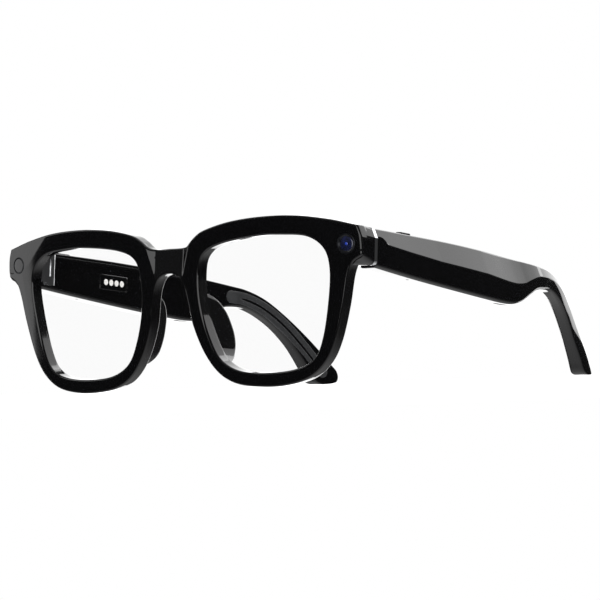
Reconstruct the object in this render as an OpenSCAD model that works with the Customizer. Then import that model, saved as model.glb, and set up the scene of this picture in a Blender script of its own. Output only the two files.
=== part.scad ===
// Camera glasses with folding electronic temples, standing on rims and ear tips.
// Design frame: +Y runs back along the temples, +X is the wearer's left, +Z is
// square to the temples, and the origin is the face of the bridge.

/* [Front] */
// Wrap radius of the front's face
wrap_r = 560; // [400:5:900]
// Forward lean of the front against the temples, in degrees
lean = 7.5; // [5:0.5:9]
// Depth of the rims from face to back
rim_depth = 4.3; // [4:0.1:4.8]
// Lens thickness
lens_t = 1.6; // [1.4:0.1:1.8]
// Depth of the lens behind the rim's face
lens_inset = 1.6; // [1.4:0.1:1.7]
// How much larger the lens is than its opening
lens_grow = 1.025; // [1.01:0.005:1.03]
// How far the bridge's face lies behind the rims
bridge_recess = 1.5; // [0:0.1:1.8]

/* [End pieces] */
// Outer face of the end pieces, from the middle
side_x = 73; // [72.9:0.05:73.2]
// Rear of the end-piece block
block_y = 11.2; // [11:0.1:11.3]
// Thickness of the bright trim band
trim_t = 1.4; // [1:0.1:1.4]
// Middle of the camera and light discs, from the middle
disc_x = 67.7; // [67.2:0.1:68]
// Height of the discs
disc_z = 2.5; // [2.2:0.1:2.8]
// Outer radius of the camera's ring
camera_r = 3.15; // [2.9:0.05:3.2]
// Outer radius of the light's ring
led_r = 2.65; // [2.4:0.05:2.8]

/* [Hinges] */
// Distance of each hinge axis from the middle
hinge_x = 63.6; // [63.4:0.1:63.8]
// Distance of the hinge axes behind the face
hinge_y = 14.5; // [14.4:0.1:14.7]
// Barrel radius
barrel_r = 1.5; // [1.3:0.05:1.6]
// Hinge pin radius
pin_r = 0.6; // [0.5:0.05:0.7]
// Running clearance between the pin and the temple's knuckle
pin_gap = 0.05; // [0.03:0.01:0.08]

/* [Temples] */
// Front face of the temples
temple_y = 12.8; // [12.7:0.05:12.9]
// Wall thickness of the temple shell
wall = 1.3; // [1.1:0.05:1.4]
// Thickness of the inner cover plate
cover_t = 1; // [0.8:0.05:1.1]
// Where the inner cover starts
cover_y0 = 16.6; // [16.4:0.1:17]
// Where the inner cover ends
cover_y1 = 93; // [92:0.5:94]
// Travel of the keys
key_travel = 0.4; // [0.3:0.05:0.45]
// Pitch of the charging contacts
contact_pitch = 2.59; // [2.5:0.01:2.7]
// Radius of the charging contacts
contact_r = 1; // [0.8:0.05:1.1]

/* [Hidden] */
$fn = 48;

wrap_fn = 720;
shell_h = 120;
frame_colour = "#161617";
metal_colour = "#c9cbce";
board_colour = "#1f5a36";
flex_colour = "#b5702a";

// ---- curves ----
// One span of a smooth curve that passes through its points
function span(a, b, c, d, t) = 0.5 * (2 * b + (c - a) * t + (2 * a - 5 * b + 4 * c - d) * t * t
    + (3 * b - a - 3 * c + d) * t * t * t);
// Open smooth curve through the points p, with n steps in each span
function curve(p, n = 4) = let (m = len(p) - 1) concat(
    [for (i = [0 : m - 1], j = [0 : n - 1])
        span(p[max(i - 1, 0)], p[i], p[i + 1], p[min(i + 2, m)], j / n)], [p[m]]);
// Closed smooth curve through the points p
function ring(p, n = 4) = let (m = len(p))
    [for (i = [0 : m - 1], j = [0 : n - 1])
        span(p[(i + m - 1) % m], p[i], p[(i + 1) % m], p[(i + 2) % m], j / n)];
// The points p, which start and may end on the middle line, and then their mirror images
function closed_by_mirror(p) = concat(p,
    [for (i = [len(p) - 2 : -1 : 1]) [-p[i][0], p[i][1]]]);
// The mirror images of the points p, and then p, as one open line across the middle
function across(p) = concat([for (i = [len(p) - 1 : -1 : 1]) [-p[i][0], p[i][1]]], p);
function backwards(p) = [for (i = [len(p) - 1 : -1 : 0]) p[i]];
function unit(v) = v / norm(v);
// Outline of a ribbon of half-width w along the points p
function ribbon(p, w) = let (m = len(p) - 1,
    side = [for (i = [0 : m]) let (d = unit(p[min(i + 1, m)] - p[max(i - 1, 0)])) [-d[1], d[0]] * w])
    concat(p + side, backwards(p - side));

// ---- front outline, right half, as x and z on the face ----
brow_top = curve([[0, 4], [5, 4], [8, 4.7], [11, 7], [15, 9], [25, 11.1], [37, 11.95],
    [50, 11.55], [62, 9.7], [71.6, 7.5]]);
end_edge = curve([[71.7, 7.5], [72.7, 4.5], [73, 1], [72.9, -1.6]]);
rim_bottom = curve([[72.3, -2], [69.4, -3.8], [67.6, -8], [65.4, -17], [62, -27], [58, -33.5],
    [52, -37.8], [44, -39.7], [35, -40], [25, -38.8], [18, -35.3], [12.7, -29], [8.8, -20.5],
    [7.2, -13], [6.2, -8.8], [4.2, -5.3], [1.6, -4], [0, -3.8]]);
half_outline = concat(brow_top, end_edge, rim_bottom);
brow_route = curve([[0, 0.2], [6, 0.9], [11, 4], [18, 7], [35, 8.9], [50, 8.5], [58, 6.9],
    [65.1, 4.2]]);
lens_opening = ring([[35, 6], [45, 5.9], [54, 4.8], [59.5, 1], [61.2, -5], [60.3, -14],
    [57.6, -25.5], [54, -32], [47, -34.9], [36, -35.7], [26, -34.7], [19, -31], [15, -24],
    [12.4, -15], [12, -6], [14, 1], [21, 4.3]]);
lens_mid = [36.6, -14.8];

// ---- temple profiles ----
// Upper and lower edges, as y and z
top_edge = curve([[12.8, 7.9], [30, 7.95], [50, 7.9], [70, 7.4], [90, 6.4], [104, 5.5],
    [112, 4.5], [120, 1.8], [128, -3.2], [136, -9.2], [143, -14.8], [148.2, -19.2]]);
tip_edge = curve([[148.2, -19.2], [149.6, -22.4], [147.2, -25.4], [143.6, -26.2], [140.4, -24.7]]);
low_edge = curve([[12.8, -4], [30, -5.4], [50, -6.8], [70, -8], [84, -8.5], [91, -7.4],
    [96.5, -4.8], [101.5, -2.5], [107, -1.7], [112, -1.9], [118, -3.8], [124, -7.2], [130, -12.3],
    [136, -18.9], [140.4, -24.7]]);
// Distance of the outer face from the middle along y, and the temple's thickness
outer_plan = curve([[12.8, 72.9], [35, 72.3], [60, 71.9], [80, 71.1], [94, 70.2], [104, 68.9],
    [112, 67.2], [120, 65.2], [128, 62.7], [136, 60.3], [144, 58.3], [150, 57.1]]);
thickness = [[12.8, 7], [90, 6.9], [99, 6], [108, 5.1], [150, 4.9]];
function top_z(y) = lookup(y, top_edge);
function low_z(y) = lookup(y, low_edge);
function outer_x(y) = lookup(y, outer_plan);
function inner_x(y) = outer_x(y) - lookup(y, thickness);
// Middle line of the ear hook, as y and z
hook_line = curve([[105, 1.7], [112, 1.2], [120, -1.6], [128, -6.9], [136, -14], [143.6, -21.4]]);
core_line = concat([[90.4, -0.4]], hook_line);

// ---- stance: the rims and the ear tips stand on one plane ----
function face_y(x, z) = x * x / (2 * wrap_r) - z * tan(lean);
function leaned(y, z) = [y * cos(lean) - z * sin(lean), y * sin(lean) + z * cos(lean)];
function rest_z(p) = p[1] * cos(rest_tilt) - p[0] * sin(rest_tilt);
rim_foot = leaned(35 * 35 / (2 * wrap_r), -40.06);
rest_tilt = min([for (p = tip_edge) atan2(p[1] - rim_foot[1], p[0] - rim_foot[0])]);
stance_z = -rest_z(rim_foot);
// Half of the standing length
stance_y = -73.31;

// ---- places shared by several pieces ----
cavity_d0 = wall + 0.7;
seam_gap = 0.06;
cavity_y0 = 14.2;
cavity_y1 = 91.5;
block_x0 = 63.2;
seam_x0 = 65.4;
pocket = [64.6, 6.9, -1.9];
pocket_size = [7.2, 3.5, 8.1];
knuckle_gap = 0.15;
knuckles = [-3.1, -0.4, 5.2, 6.9];
leaf_screw_y = [20, 25.5];
leaf_screw_z = 1.5;
front_screw_z = [5.4, -1.7];
front_screw_y = 9.9;
screw_r = 0.7;
screw_head_r = 1.2;
screw_head_t = 0.5;
contact_y = 46.8;
contact_z = 0.85;
base_len = 13.4;
base_h = 5;
base_t = 2.2;
base_proud = 0.25;
key_flange_t = 0.5;
button_y = 31;
button_len = 6;
button_rise = 0.8;
power_y = 24.6;
power_len = 7;
power_rise = 0.7;
key_x = 68.2;
key_w = 2.6;
key_clear = 0.15;
speaker_y = 84;
mic_y = 33;
mic_hole_r = 0.5;

module stance() translate([0, stance_y, stance_z]) rotate([-rest_tilt, 0, 0]) children();
module on_side(side) {
    if (side == "left") children();
    else mirror([1, 0, 0]) children();
}
module both_sides() {
    children();
    mirror([1, 0, 0]) children();
}

// ---- front ----
// Everything between two depths behind the wrapped face
module wrap_layer(d0, d1) translate([0, wrap_r, -shell_h / 2]) difference() {
    cylinder(r = wrap_r - d0, h = shell_h, $fn = wrap_fn);
    translate([0, 0, -1]) cylinder(r = wrap_r - d1, h = shell_h + 2, $fn = wrap_fn);
}
// A flat outline in x and z, cut to a layer of the leaning front
module front_layer(d0, d1) rotate([lean, 0, 0]) intersection() {
    wrap_layer(d0, d1);
    translate([0, 20, 0]) rotate([90, 0, 0]) linear_extrude(40) children();
}
module front_outline() polygon(closed_by_mirror(half_outline));
module lens_outline() translate(lens_mid) scale(lens_grow) translate(-lens_mid)
    polygon(lens_opening);
module end_section(x0) {
    corner_r = 1.6;
    corner = [side_x - corner_r, -3.5 + corner_r];
    polygon(concat([[x0, -3.5]],
        [for (a = [-90 : 15 : 0]) corner + corner_r * [cos(a), sin(a)]],
        [[side_x, 4.8], [71.6, 7.9], [x0, 7.9]]));
}
module along_y(y0, y1) translate([0, y1, 0]) rotate([90, 0, 0]) linear_extrude(y1 - y0) children();
// Places a disc module: local +Z is the outward normal of the face
module at_disc(side) on_side(side) translate([disc_x, face_y(disc_x, disc_z), disc_z])
    rotate([lean, 0, 0]) rotate([0, 0, asin(disc_x / wrap_r)]) rotate([90, 0, 0]) children();
module brow_line(w) polygon(ribbon(across(brow_route), w));
module front_screw_places() for (z = front_screw_z)
    translate([block_x0 - 1, front_screw_y, z]) rotate([0, 90, 0]) children();
module disc_bores(side, ring_r, ring_t, bore_r) at_disc(side) {
    translate([0, 0, -ring_t]) cylinder(r = ring_r, h = ring_t + 2);
    translate([0, 0, -7]) cylinder(r = bore_r, h = 8);
}
module front_frame() color(frame_colour) stance() difference() {
    union() {
        front_layer(0, rim_depth) front_outline();
        both_sides() along_y(6, block_y) end_section(block_x0);
    }
    front_layer(-2, rim_depth + 3) both_sides() polygon(lens_opening);
    front_layer(lens_inset, lens_inset + lens_t) both_sides() lens_outline();
    rotate([lean, 0, 0]) translate([0, 0, -4.2]) linear_extrude(12)
        polygon([[-10.2, -2], [10.2, -2], [10.2, 0.1], [6.6, bridge_recess],
            [-6.6, bridge_recess], [-10.2, 0.1]]);
    front_layer(rim_depth - 1.5, rim_depth + 1) brow_line(1);
    front_layer(rim_depth - 0.6, rim_depth + 1) brow_line(1.4);
    both_sides() {
        translate(pocket) cube(pocket_size + [0, 1, 0]);
        translate([seam_x0, block_y - 0.8, -2.6]) cube([6.6, 1, 9.4]);
        front_screw_places() cylinder(r = screw_r, h = 2.3);
    }
    disc_bores("left", camera_r, 0.6, 2.2);
    disc_bores("right", led_r, 0.6, 1.7);
}
module brow_cover() color(frame_colour) stance() front_layer(rim_depth - 0.6, rim_depth)
    intersection() {
        brow_line(1.4);
        square([126, 60], center = true);
    }
module brow_flex() color(flex_colour) stance() front_layer(rim_depth - 1.3, rim_depth - 1)
    intersection() {
        brow_line(0.8);
        square([129, 60], center = true);
    }
module lens(side) color([0.92, 0.95, 0.97, 0.25]) stance() on_side(side)
    front_layer(lens_inset, lens_inset + lens_t) lens_outline();
module nose_pad(side) color(frame_colour) stance() on_side(side) intersection() {
    pad_rear = curve([[3.2, -9.6], [8.2, -11.6], [11.6, -15.2], [13.2, -19.5], [13.8, -23.5],
        [13.4, -27.6], [11.8, -31.4], [8.8, -33.4], [4.5, -33]]);
    translate([7.6, 3.2, -9]) rotate([0, 0, -11]) rotate([0, -15.5, 0]) translate([0, 0, 9])
        rotate([90, 0, 90]) linear_extrude(2) polygon(concat([[0, -9.6]], pad_rear, [[0, -33]]));
    rotate([lean, 0, 0]) translate([0, wrap_r, -shell_h / 2])
        cylinder(r = wrap_r - rim_depth - 0.02, h = shell_h, $fn = wrap_fn);
}
module endpiece_cover(side) color(frame_colour) stance() on_side(side)
    translate([seam_x0, block_y - 0.8, -2.6]) cube([6.6, 0.8, 9.4]);
module trim_plate(side) color(metal_colour) stance() on_side(side)
    along_y(block_y, block_y + trim_t) difference() {
        end_section(seam_x0);
        translate([67.2, -0.6]) square([3.4, 5.4]);
    }

// ---- camera and light modules ----
module camera_bezel() color(metal_colour) stance() at_disc("left") difference() {
    translate([0, 0, -0.6]) cylinder(r = camera_r, h = 0.7);
    translate([0, 0, -1]) cylinder(r = camera_r - 0.9, h = 2);
}
module camera_window() color("#20305c") stance() at_disc("left") translate([0, 0, -0.6])
    cylinder(r = camera_r - 0.9, h = 0.5);
module camera_barrel() color("#26272a") stance() at_disc("left") translate([0, 0, -3.6])
    difference() {
        cylinder(r = 2.15, h = 3);
        translate([0, 0, 0.5]) cylinder(r = 1.2, h = 3);
    }
module camera_board() color(board_colour) stance() at_disc("left") translate([-2.2, -2.8, -4.8])
    cube([4.8, 5.6, 0.8]);
module led_bezel() color("#2a2b2e") stance() at_disc("right") difference() {
    translate([0, 0, -0.6]) cylinder(r = led_r, h = 0.65);
    translate([0, 0, -1]) cylinder(r = led_r - 0.4, h = 2);
}
module led_window() color("#050506") stance() at_disc("right") translate([0, 0, -0.6])
    cylinder(r = led_r - 0.4, h = 0.5);
module led_chip() color("#f2f0dc") stance() at_disc("right") translate([-1, -1, -4])
    cube([2, 2, 1.2]);
module led_board() color(board_colour) stance() at_disc("right") translate([-2.2, -2.5, -4.8])
    cube([4.8, 5, 0.8]);

// ---- hinges ----
module knuckle(z0, z1, bore_r) translate([hinge_x, hinge_y, z0]) difference() {
    cylinder(r = barrel_r, h = z1 - z0);
    translate([0, 0, -1]) cylinder(r = bore_r, h = z1 - z0 + 2);
}
module hinge_front_leaf(side) color(metal_colour) stance() on_side(side) difference() {
    union() {
        translate([block_x0 - 1, 8.4, knuckles[0]]) cube([1, 4.9, 10]);
        translate([block_x0 - 1.8, 8.9, knuckles[0]]) cube([1, 4.2, 0.7]);
        for (k = [[knuckles[0], knuckles[1]], [knuckles[2], knuckles[3]]]) {
            knuckle(k[0], k[1], pin_r);
            translate([block_x0 - 1, 13, k[0]]) cube([0.7, 1.5, k[1] - k[0]]);
        }
    }
    translate([hinge_x, hinge_y, -10]) cylinder(r = pin_r, h = 30);
    translate([block_x0 - 2.2, 12.6, knuckles[1]]) cube([2.3, 2, knuckles[2] - knuckles[1]]);
    front_screw_places() translate([0, 0, -1]) cylinder(r = screw_r, h = 3);
    front_screw_places() translate([0, 0, -1]) cylinder(r = screw_head_r, h = 1 + screw_head_t);
}
module hinge_pin(side) color(metal_colour) stance() on_side(side)
    translate([hinge_x, hinge_y, knuckles[0]]) {
        cylinder(r = pin_r, h = knuckles[3] - knuckles[0]);
        translate([0, 0, knuckles[3] - knuckles[0]]) cylinder(r = 1.1, h = 0.35);
    }
module screw(len) {
    cylinder(r = screw_head_r, h = screw_head_t);
    cylinder(r = screw_r, h = len);
}
module hinge_front_screws() color(metal_colour) stance() both_sides() front_screw_places()
    screw(2.3);
module hinge_temple_leaf(side) color(metal_colour) stance() on_side(side) difference() {
    union() {
        knuckle(knuckles[1] + knuckle_gap, knuckles[2] - knuckle_gap, pin_r + pin_gap);
        translate([hinge_x + pin_r, hinge_y + 0.3, knuckles[1] + knuckle_gap])
            cube([3, 1.2, knuckles[2] - knuckles[1] - 2 * knuckle_gap]);
        plan_strip(hinge_y + 0.3, 28, 5, 5.95, -2.2, 4.8);
    }
    translate([hinge_x, hinge_y, -10]) cylinder(r = pin_r + pin_gap, h = 30);
    temple_screw_places() cylinder(r = screw_r, h = 4);
    temple_screw_places() translate([0, 0, -1]) cylinder(r = screw_head_r, h = 1 + screw_head_t);
}
module hinge_temple_screws(side) color(metal_colour) stance() on_side(side)
    temple_screw_places() screw(3.4);
// Local +Z runs outwards from the leaf's inner face into the shell
module temple_screw_places() for (y = leaf_screw_y)
    translate([outer_x(y) - 5.9, y, leaf_screw_z]) rotate([0, 90, 0]) children();

// ---- temples ----
// A straight bar between two depths behind the outer face
module plan_strip(y0, y1, d0, d1, z0, z1) translate([0, 0, z0]) linear_extrude(z1 - z0)
    polygon([[outer_x(y0) - d0, y0], [outer_x(y1) - d0, y1], [outer_x(y1) - d1, y1],
        [outer_x(y0) - d1, y0]]);
// A bar that follows the temple's plan from y0 to y1, with depths given as functions of y
module plan_body(y0, y1, outer, inner) translate([0, 0, -40]) linear_extrude(60) polygon(concat(
    [for (i = [0 : 24]) let (y = y0 + (y1 - y0) * i / 24) [outer(y), y]],
    [for (i = [24 : -1 : 0]) let (y = y0 + (y1 - y0) * i / 24) [inner(y), y]]));
module side_body() translate([40, 0, 0]) rotate([90, 0, 90]) linear_extrude(50) children();
module temple_profile() polygon(concat(top_edge, tip_edge, backwards(low_edge)));
module bay_profile(y0, y1, margin) polygon(concat(
    [for (i = [0 : 12]) let (y = y0 + (y1 - y0) * i / 12) [y, top_z(y) - margin]],
    [for (i = [12 : -1 : 0]) let (y = y0 + (y1 - y0) * i / 12) [y, low_z(y) + margin]]));
module temple_blank() intersection() {
    plan_body(temple_y, 150, function (y) outer_x(y), function (y) inner_x(y));
    side_body() temple_profile();
}
// Slanted upper facet of the outer side
module facet_cut() translate([side_x, temple_y - 1, 4.8]) rotate([-4.2, 0, 1.6])
    rotate([0, -10, 0]) cube([6, 92, 14]);
module key_slot(y, length) translate([key_x - outer_x(30) + outer_x(y), y, 5]) rotate([0, 0, 1])
    stadium(length + 2 * key_clear, key_w + 2 * key_clear, 6);
module stadium(length, width, height) linear_extrude(height) union() {
    square([width, length - width], center = true);
    for (s = [-1, 1]) translate([0, s * (length - width) / 2]) circle(d = width);
}
module temple_shell(side) color(frame_colour) stance() on_side(side) difference() {
    union() {
        difference() {
            temple_blank();
            intersection() {
                plan_body(cavity_y0, cavity_y1, function (y) outer_x(y) - cavity_d0,
                    function (y) inner_x(y) - 1);
                side_body() bay_profile(cavity_y0, cavity_y1, wall);
            }
            cover_zone(seam_gap);
            facet_cut();
        }
        for (y = leaf_screw_y) translate([outer_x(y) - 4.95, y, leaf_screw_z]) rotate([0, 90, 0])
            cylinder(r = 1.6, h = 4.2);
    }
    temple_screw_places() cylinder(r = screw_r, h = 3.4);
    translate([60, cavity_y0 - 2, knuckles[1]]) cube([8.6, 3.8, knuckles[2] - knuckles[1]]);
    grip_zone(1);
    core_zone();
    translate([outer_x(speaker_y) - 3.6, speaker_y, -12]) rotate([0, 0, 2])
        stadium(8, 2, 8);
    translate([outer_x(mic_y) - 3.6, mic_y, -12]) cylinder(r = mic_hole_r, h = 10);
    if (side == "left") key_slot(button_y, button_len);
    if (side == "right") key_slot(power_y, power_len);
}
module cover_zone(gap) intersection() {
    plan_body(cover_y0 - gap, cover_y1 + gap, function (y) inner_x(y) + cover_t + gap,
        function (y) inner_x(y) - 1);
    side_body() bay_profile(cover_y0 - gap, cover_y1 + gap, 0.9 - gap);
}
module temple_cover(side) color(frame_colour) stance() on_side(side) difference() {
    intersection() {
        plan_body(cover_y0, cover_y1, function (y) inner_x(y) + cover_t,
            function (y) inner_x(y));
        side_body() bay_profile(cover_y0, cover_y1, 0.9);
    }
    if (side == "right") base_zone();
}
// Soft inlay on the inner face of the hook, and the metal strip inside it
module grip_zone(proud) intersection() {
    plan_body(100, 148, function (y) inner_x(y) + 0.8, function (y) inner_x(y) - proud);
    side_body() union() {
        polygon(ribbon(hook_line, 2.4));
        translate(hook_line[0]) circle(r = 2.4);
        translate(hook_line[len(hook_line) - 1]) circle(r = 2.4);
    }
}
module core_zone() intersection() {
    plan_body(90, 145, function (y) inner_x(y) + 2.9, function (y) inner_x(y) + 1.7);
    side_body() polygon(ribbon(core_line, 0.9));
}
module ear_grip(side) color("#2b2b2d") stance() on_side(side) grip_zone(0.1);
module ear_core(side) color(metal_colour) stance() on_side(side) core_zone();

// ---- temple electronics ----
module battery(side) color("#9aa0a8") stance() on_side(side) {
    if (side == "left") plan_strip(42, 76, 2.4, 5.5, -4.6, 3.4);
    else plan_strip(54, 77, 2.4, 5.5, -5.2, 3.2);
}
module circuit_board(side) color(board_colour) stance() on_side(side) difference() {
    union() {
        plan_strip(28.6, 40, 2.6, 3.4, -3, 4.2);
        plan_strip(30, 34.4, 3.4, 4.4, -1.6, 2.6);
        plan_strip(35.4, 38.6, 3.4, 4.2, -1.6, 2.6);
    }
    translate([outer_x(mic_y) - 3.6, mic_y, -4]) cylinder(r = 0.4, h = 1);
}
module temple_flex(side) color(flex_colour) stance() on_side(side)
    plan_strip(15.6, 46, 2.2, 2.45, 3.6, 4.7);
module microphone(side) color("#b9a867") stance() on_side(side)
    plan_strip(mic_y - 1.4, mic_y + 1.4, 2.5, 4.7, -4.1, -3.05);
module speaker(side) color("#3a3b3e") stance() on_side(side)
    plan_strip(78.6, 89, 2.4, 5.5, -5.5, 1.8);
module speaker_mesh(side) color("#55575b") stance() on_side(side)
    translate([outer_x(speaker_y) - 3.6, speaker_y, -7.6]) rotate([0, 0, 2]) stadium(7.9, 1.9, 0.5);
module touch_sensor() color("#c98a3c") stance() plan_strip(42, 76, 2.05, 2.3, -4, 3);
module key_body(y, length, rise, flange_z) translate([key_x - outer_x(30) + outer_x(y), y, 0])
    rotate([0, 0, 1]) {
        translate([0, 0, flange_z]) stadium(length, key_w, top_z(y) + rise - flange_z);
        translate([0, 0, flange_z]) stadium(length + 1.6, key_w + 0.6, key_flange_t);
    }
module capture_button() color(frame_colour) stance()
    key_body(button_y, button_len, button_rise, top_z(button_y) - wall - 0.6);
module power_key() color(frame_colour) stance() on_side("right")
    key_body(power_y, power_len, power_rise, top_z(power_y) - wall - 0.6);
module key_switch(y) translate([key_x - 1.2, y - 1.6, top_z(y) - wall - 0.6 - key_travel - 0.65])
    cube([2.4, 3.2, 0.6]);
module button_switch() color("#d8d8d8") stance() key_switch(button_y);
module power_switch() color("#d8d8d8") stance() on_side("right") key_switch(power_y);
module contact_places() for (i = [-1.5 : 1 : 1.5])
    translate([0, contact_y + i * contact_pitch, contact_z]) rotate([0, 90, 0]) children();
base_x = inner_x(contact_y - base_len / 2) - base_proud;
module base_zone() translate([base_x, contact_y - base_len / 2, contact_z - base_h / 2])
    cube([base_t, base_len, base_h]);
module magnet_places() for (s = [-1, 1])
    translate([base_x + 1, contact_y + s * (base_len / 2 - 0.85), contact_z]) rotate([0, 90, 0])
        children();
module charge_base() color(frame_colour) stance() on_side("right") difference() {
    base_zone();
    contact_places() translate([0, 0, base_x - 1]) cylinder(r = contact_r, h = base_t + 2);
    magnet_places() cylinder(r = 0.7, h = 2);
}
module charge_contacts() color("#f4f4f2") stance() on_side("right") contact_places()
    translate([0, 0, base_x - 0.1]) cylinder(r = contact_r, h = base_t);
module charge_magnets() color("#8f9296") stance() on_side("right") magnet_places()
    cylinder(r = 0.7, h = 1.2);

front_frame();
brow_cover();
brow_flex();
lens("left");  // lens_left
lens("right");  // lens_right
nose_pad("left");  // nose_pad_left
nose_pad("right");  // nose_pad_right
endpiece_cover("left");  // endpiece_cover_left
endpiece_cover("right");  // endpiece_cover_right
trim_plate("left");  // trim_plate_left
trim_plate("right");  // trim_plate_right
camera_bezel();
camera_window();
camera_barrel();
camera_board();
led_bezel();
led_window();
led_chip();
led_board();
hinge_front_leaf("left");  // hinge_front_leaf_left
hinge_front_leaf("right");  // hinge_front_leaf_right
hinge_pin("left");  // hinge_pin_left
hinge_pin("right");  // hinge_pin_right
hinge_front_screws();
temple_shell("left");  // temple_shell_left
temple_shell("right");  // temple_shell_right
temple_cover("left");  // temple_cover_left
temple_cover("right");  // temple_cover_right
hinge_temple_leaf("left");  // hinge_temple_leaf_left
hinge_temple_leaf("right");  // hinge_temple_leaf_right
hinge_temple_screws("left");  // hinge_temple_screws_left
hinge_temple_screws("right");  // hinge_temple_screws_right
ear_core("left");  // ear_core_left
ear_core("right");  // ear_core_right
ear_grip("left");  // ear_grip_left
ear_grip("right");  // ear_grip_right
battery("left");  // battery_left
battery("right");  // battery_right
circuit_board("left");  // circuit_board_left
circuit_board("right");  // circuit_board_right
temple_flex("left");  // temple_flex_left
temple_flex("right");  // temple_flex_right
microphone("left");  // microphone_left
microphone("right");  // microphone_right
speaker("left");  // speaker_left
speaker("right");  // speaker_right
speaker_mesh("left");  // speaker_mesh_left
speaker_mesh("right");  // speaker_mesh_right
touch_sensor();
capture_button();
button_switch();
power_key();
power_switch();
charge_base();
charge_contacts();
charge_magnets();
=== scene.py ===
"""Camera glasses: the finished look of the polished front, temples, lenses and small parts.

Shapes are worked out in the design frame in millimetres (+Y runs back along the temples, +X is
the wearer's left, +Z is square to the temples) and placed by one Stance, which stands the rims
and the ear tips on the floor. Wherever a sub-assembly has two sides, the right one is the left
one mirrored across X.
"""

import logging
import math
from dataclasses import dataclass
from enum import Enum
from typing import Callable, Optional, Sequence

import bmesh
import bpy
import numpy as np
from mathutils import Matrix, Vector


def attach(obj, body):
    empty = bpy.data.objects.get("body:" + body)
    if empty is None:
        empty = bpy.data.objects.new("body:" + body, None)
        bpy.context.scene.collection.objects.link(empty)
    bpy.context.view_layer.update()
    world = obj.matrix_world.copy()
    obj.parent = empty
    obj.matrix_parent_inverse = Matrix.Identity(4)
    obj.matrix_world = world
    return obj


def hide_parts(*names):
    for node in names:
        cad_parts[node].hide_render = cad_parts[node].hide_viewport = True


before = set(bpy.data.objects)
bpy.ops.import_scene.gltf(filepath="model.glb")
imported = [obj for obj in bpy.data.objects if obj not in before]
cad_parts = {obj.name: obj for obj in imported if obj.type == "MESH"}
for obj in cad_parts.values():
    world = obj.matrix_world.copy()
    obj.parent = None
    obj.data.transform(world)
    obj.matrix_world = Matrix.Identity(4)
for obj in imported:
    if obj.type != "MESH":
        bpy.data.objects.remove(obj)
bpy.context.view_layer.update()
LOG = logging.getLogger("glasses")
MM = 0.001
Array = np.ndarray


class Side(Enum):
    """The wearer's sides, by the sign of X."""

    LEFT = 1
    RIGHT = -1

    @property
    def word(self) -> str:
        """The side's name as the CAD nodes spell it."""
        return self.name.lower()


# ---- curves and arrays ----
def smooth_curve(points: Sequence[Sequence[float]], steps: int = 12) -> Array:
    """Open Catmull-Rom curve through points.

    Each span is 0.5 (2b + (c - a) t + (2a - 5b + 4c - d) t^2 + (3b - a - 3c + d) t^3).

    Args:
        points: the points that the curve passes through.
        steps: samples in each span.

    Returns:
        The samples, one row each.
    """
    p = np.asarray(points, float)
    a, b, c, d = np.vstack([p[:1], p[:-2]]), p[:-1], p[1:], np.vstack([p[2:], p[-1:]])
    t = (np.arange(steps) / steps)[None, :, None]
    a, b, c, d = (q[:, None, :] for q in (a, b, c, d))
    spans = 0.5 * (2 * b + (c - a) * t + (2 * a - 5 * b + 4 * c - d) * t**2 + (3 * b - a - 3 * c + d) * t**3)
    return np.vstack([spans.reshape(-1, p.shape[1]), p[-1:]])


def smooth_ring(points: Sequence[Sequence[float]], steps: int = 12) -> Array:
    """Closed Catmull-Rom curve through points; the first sample isn't repeated at the end."""
    p = list(map(tuple, points))
    return smooth_curve([p[-1]] + p + p[:2], steps)[steps:steps * (len(p) + 1)]


def arc_length(line: Array) -> Array:
    """Distance along a line at each of its points."""
    return np.concatenate([[0.0], np.cumsum(np.linalg.norm(np.diff(line, axis=0), axis=1))])


def at_lengths(line: Array, lengths: Array) -> Array:
    """Points of a line at the given distances along it."""
    s = arc_length(line)
    return np.stack([np.interp(lengths, s, line[:, k]) for k in range(line.shape[1])], axis=1)


def evenly(line: Array, count: int) -> Array:
    """A line's shape in count points, equally far apart."""
    return at_lengths(line, np.linspace(0, arc_length(line)[-1], count))


def smooth_step(x: Array, low: float, high: float) -> Array:
    """0 below low, 1 above high and 3t^2 - 2t^3 between."""
    t = np.clip((np.asarray(x, float) - low) / (high - low), 0, 1)
    return t * t * (3 - 2 * t)


def soft_ramp(x: Array, radius: float) -> Array:
    """0 for negative x and x for positive x, with the corner rounded over +-radius."""
    x = np.asarray(x, float)
    return np.where(x < -radius, 0, np.where(x > radius, x, (x + radius) ** 2 / (4 * radius)))


def unit_rows(v: Array) -> Array:
    """Rows scaled to length 1."""
    return v / np.maximum(np.linalg.norm(v, axis=-1, keepdims=True), 1e-12)


# ---- where the design stands ----
@dataclass(frozen=True)
class FrontForm:
    """The wrapped, leaning face that all front pieces lie on."""

    wrap_radius: float = 560.0
    lean: float = math.radians(7.5)

    def lay(self, x: Array, z: Array, depth: Array) -> Array:
        """Points of the front from x, height z and depth behind the face.

        The face is a cylinder about a vertical axis wrap_radius behind it, so a point at depth d
        lies at y = R - sqrt((R - d)^2 - x^2); the whole then leans back about X.

        Args:
            x: distance from the middle.
            z: height before the lean.
            depth: distance behind the face.

        Returns:
            The points, in design millimetres.
        """
        x, z, depth = np.broadcast_arrays(*(np.asarray(q, float) for q in (x, z, depth)))
        y = self.wrap_radius - np.sqrt((self.wrap_radius - depth) ** 2 - x**2)
        c, s = math.cos(self.lean), math.sin(self.lean)
        return np.stack([x, y * c - z * s, y * s + z * c], axis=-1)


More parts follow.
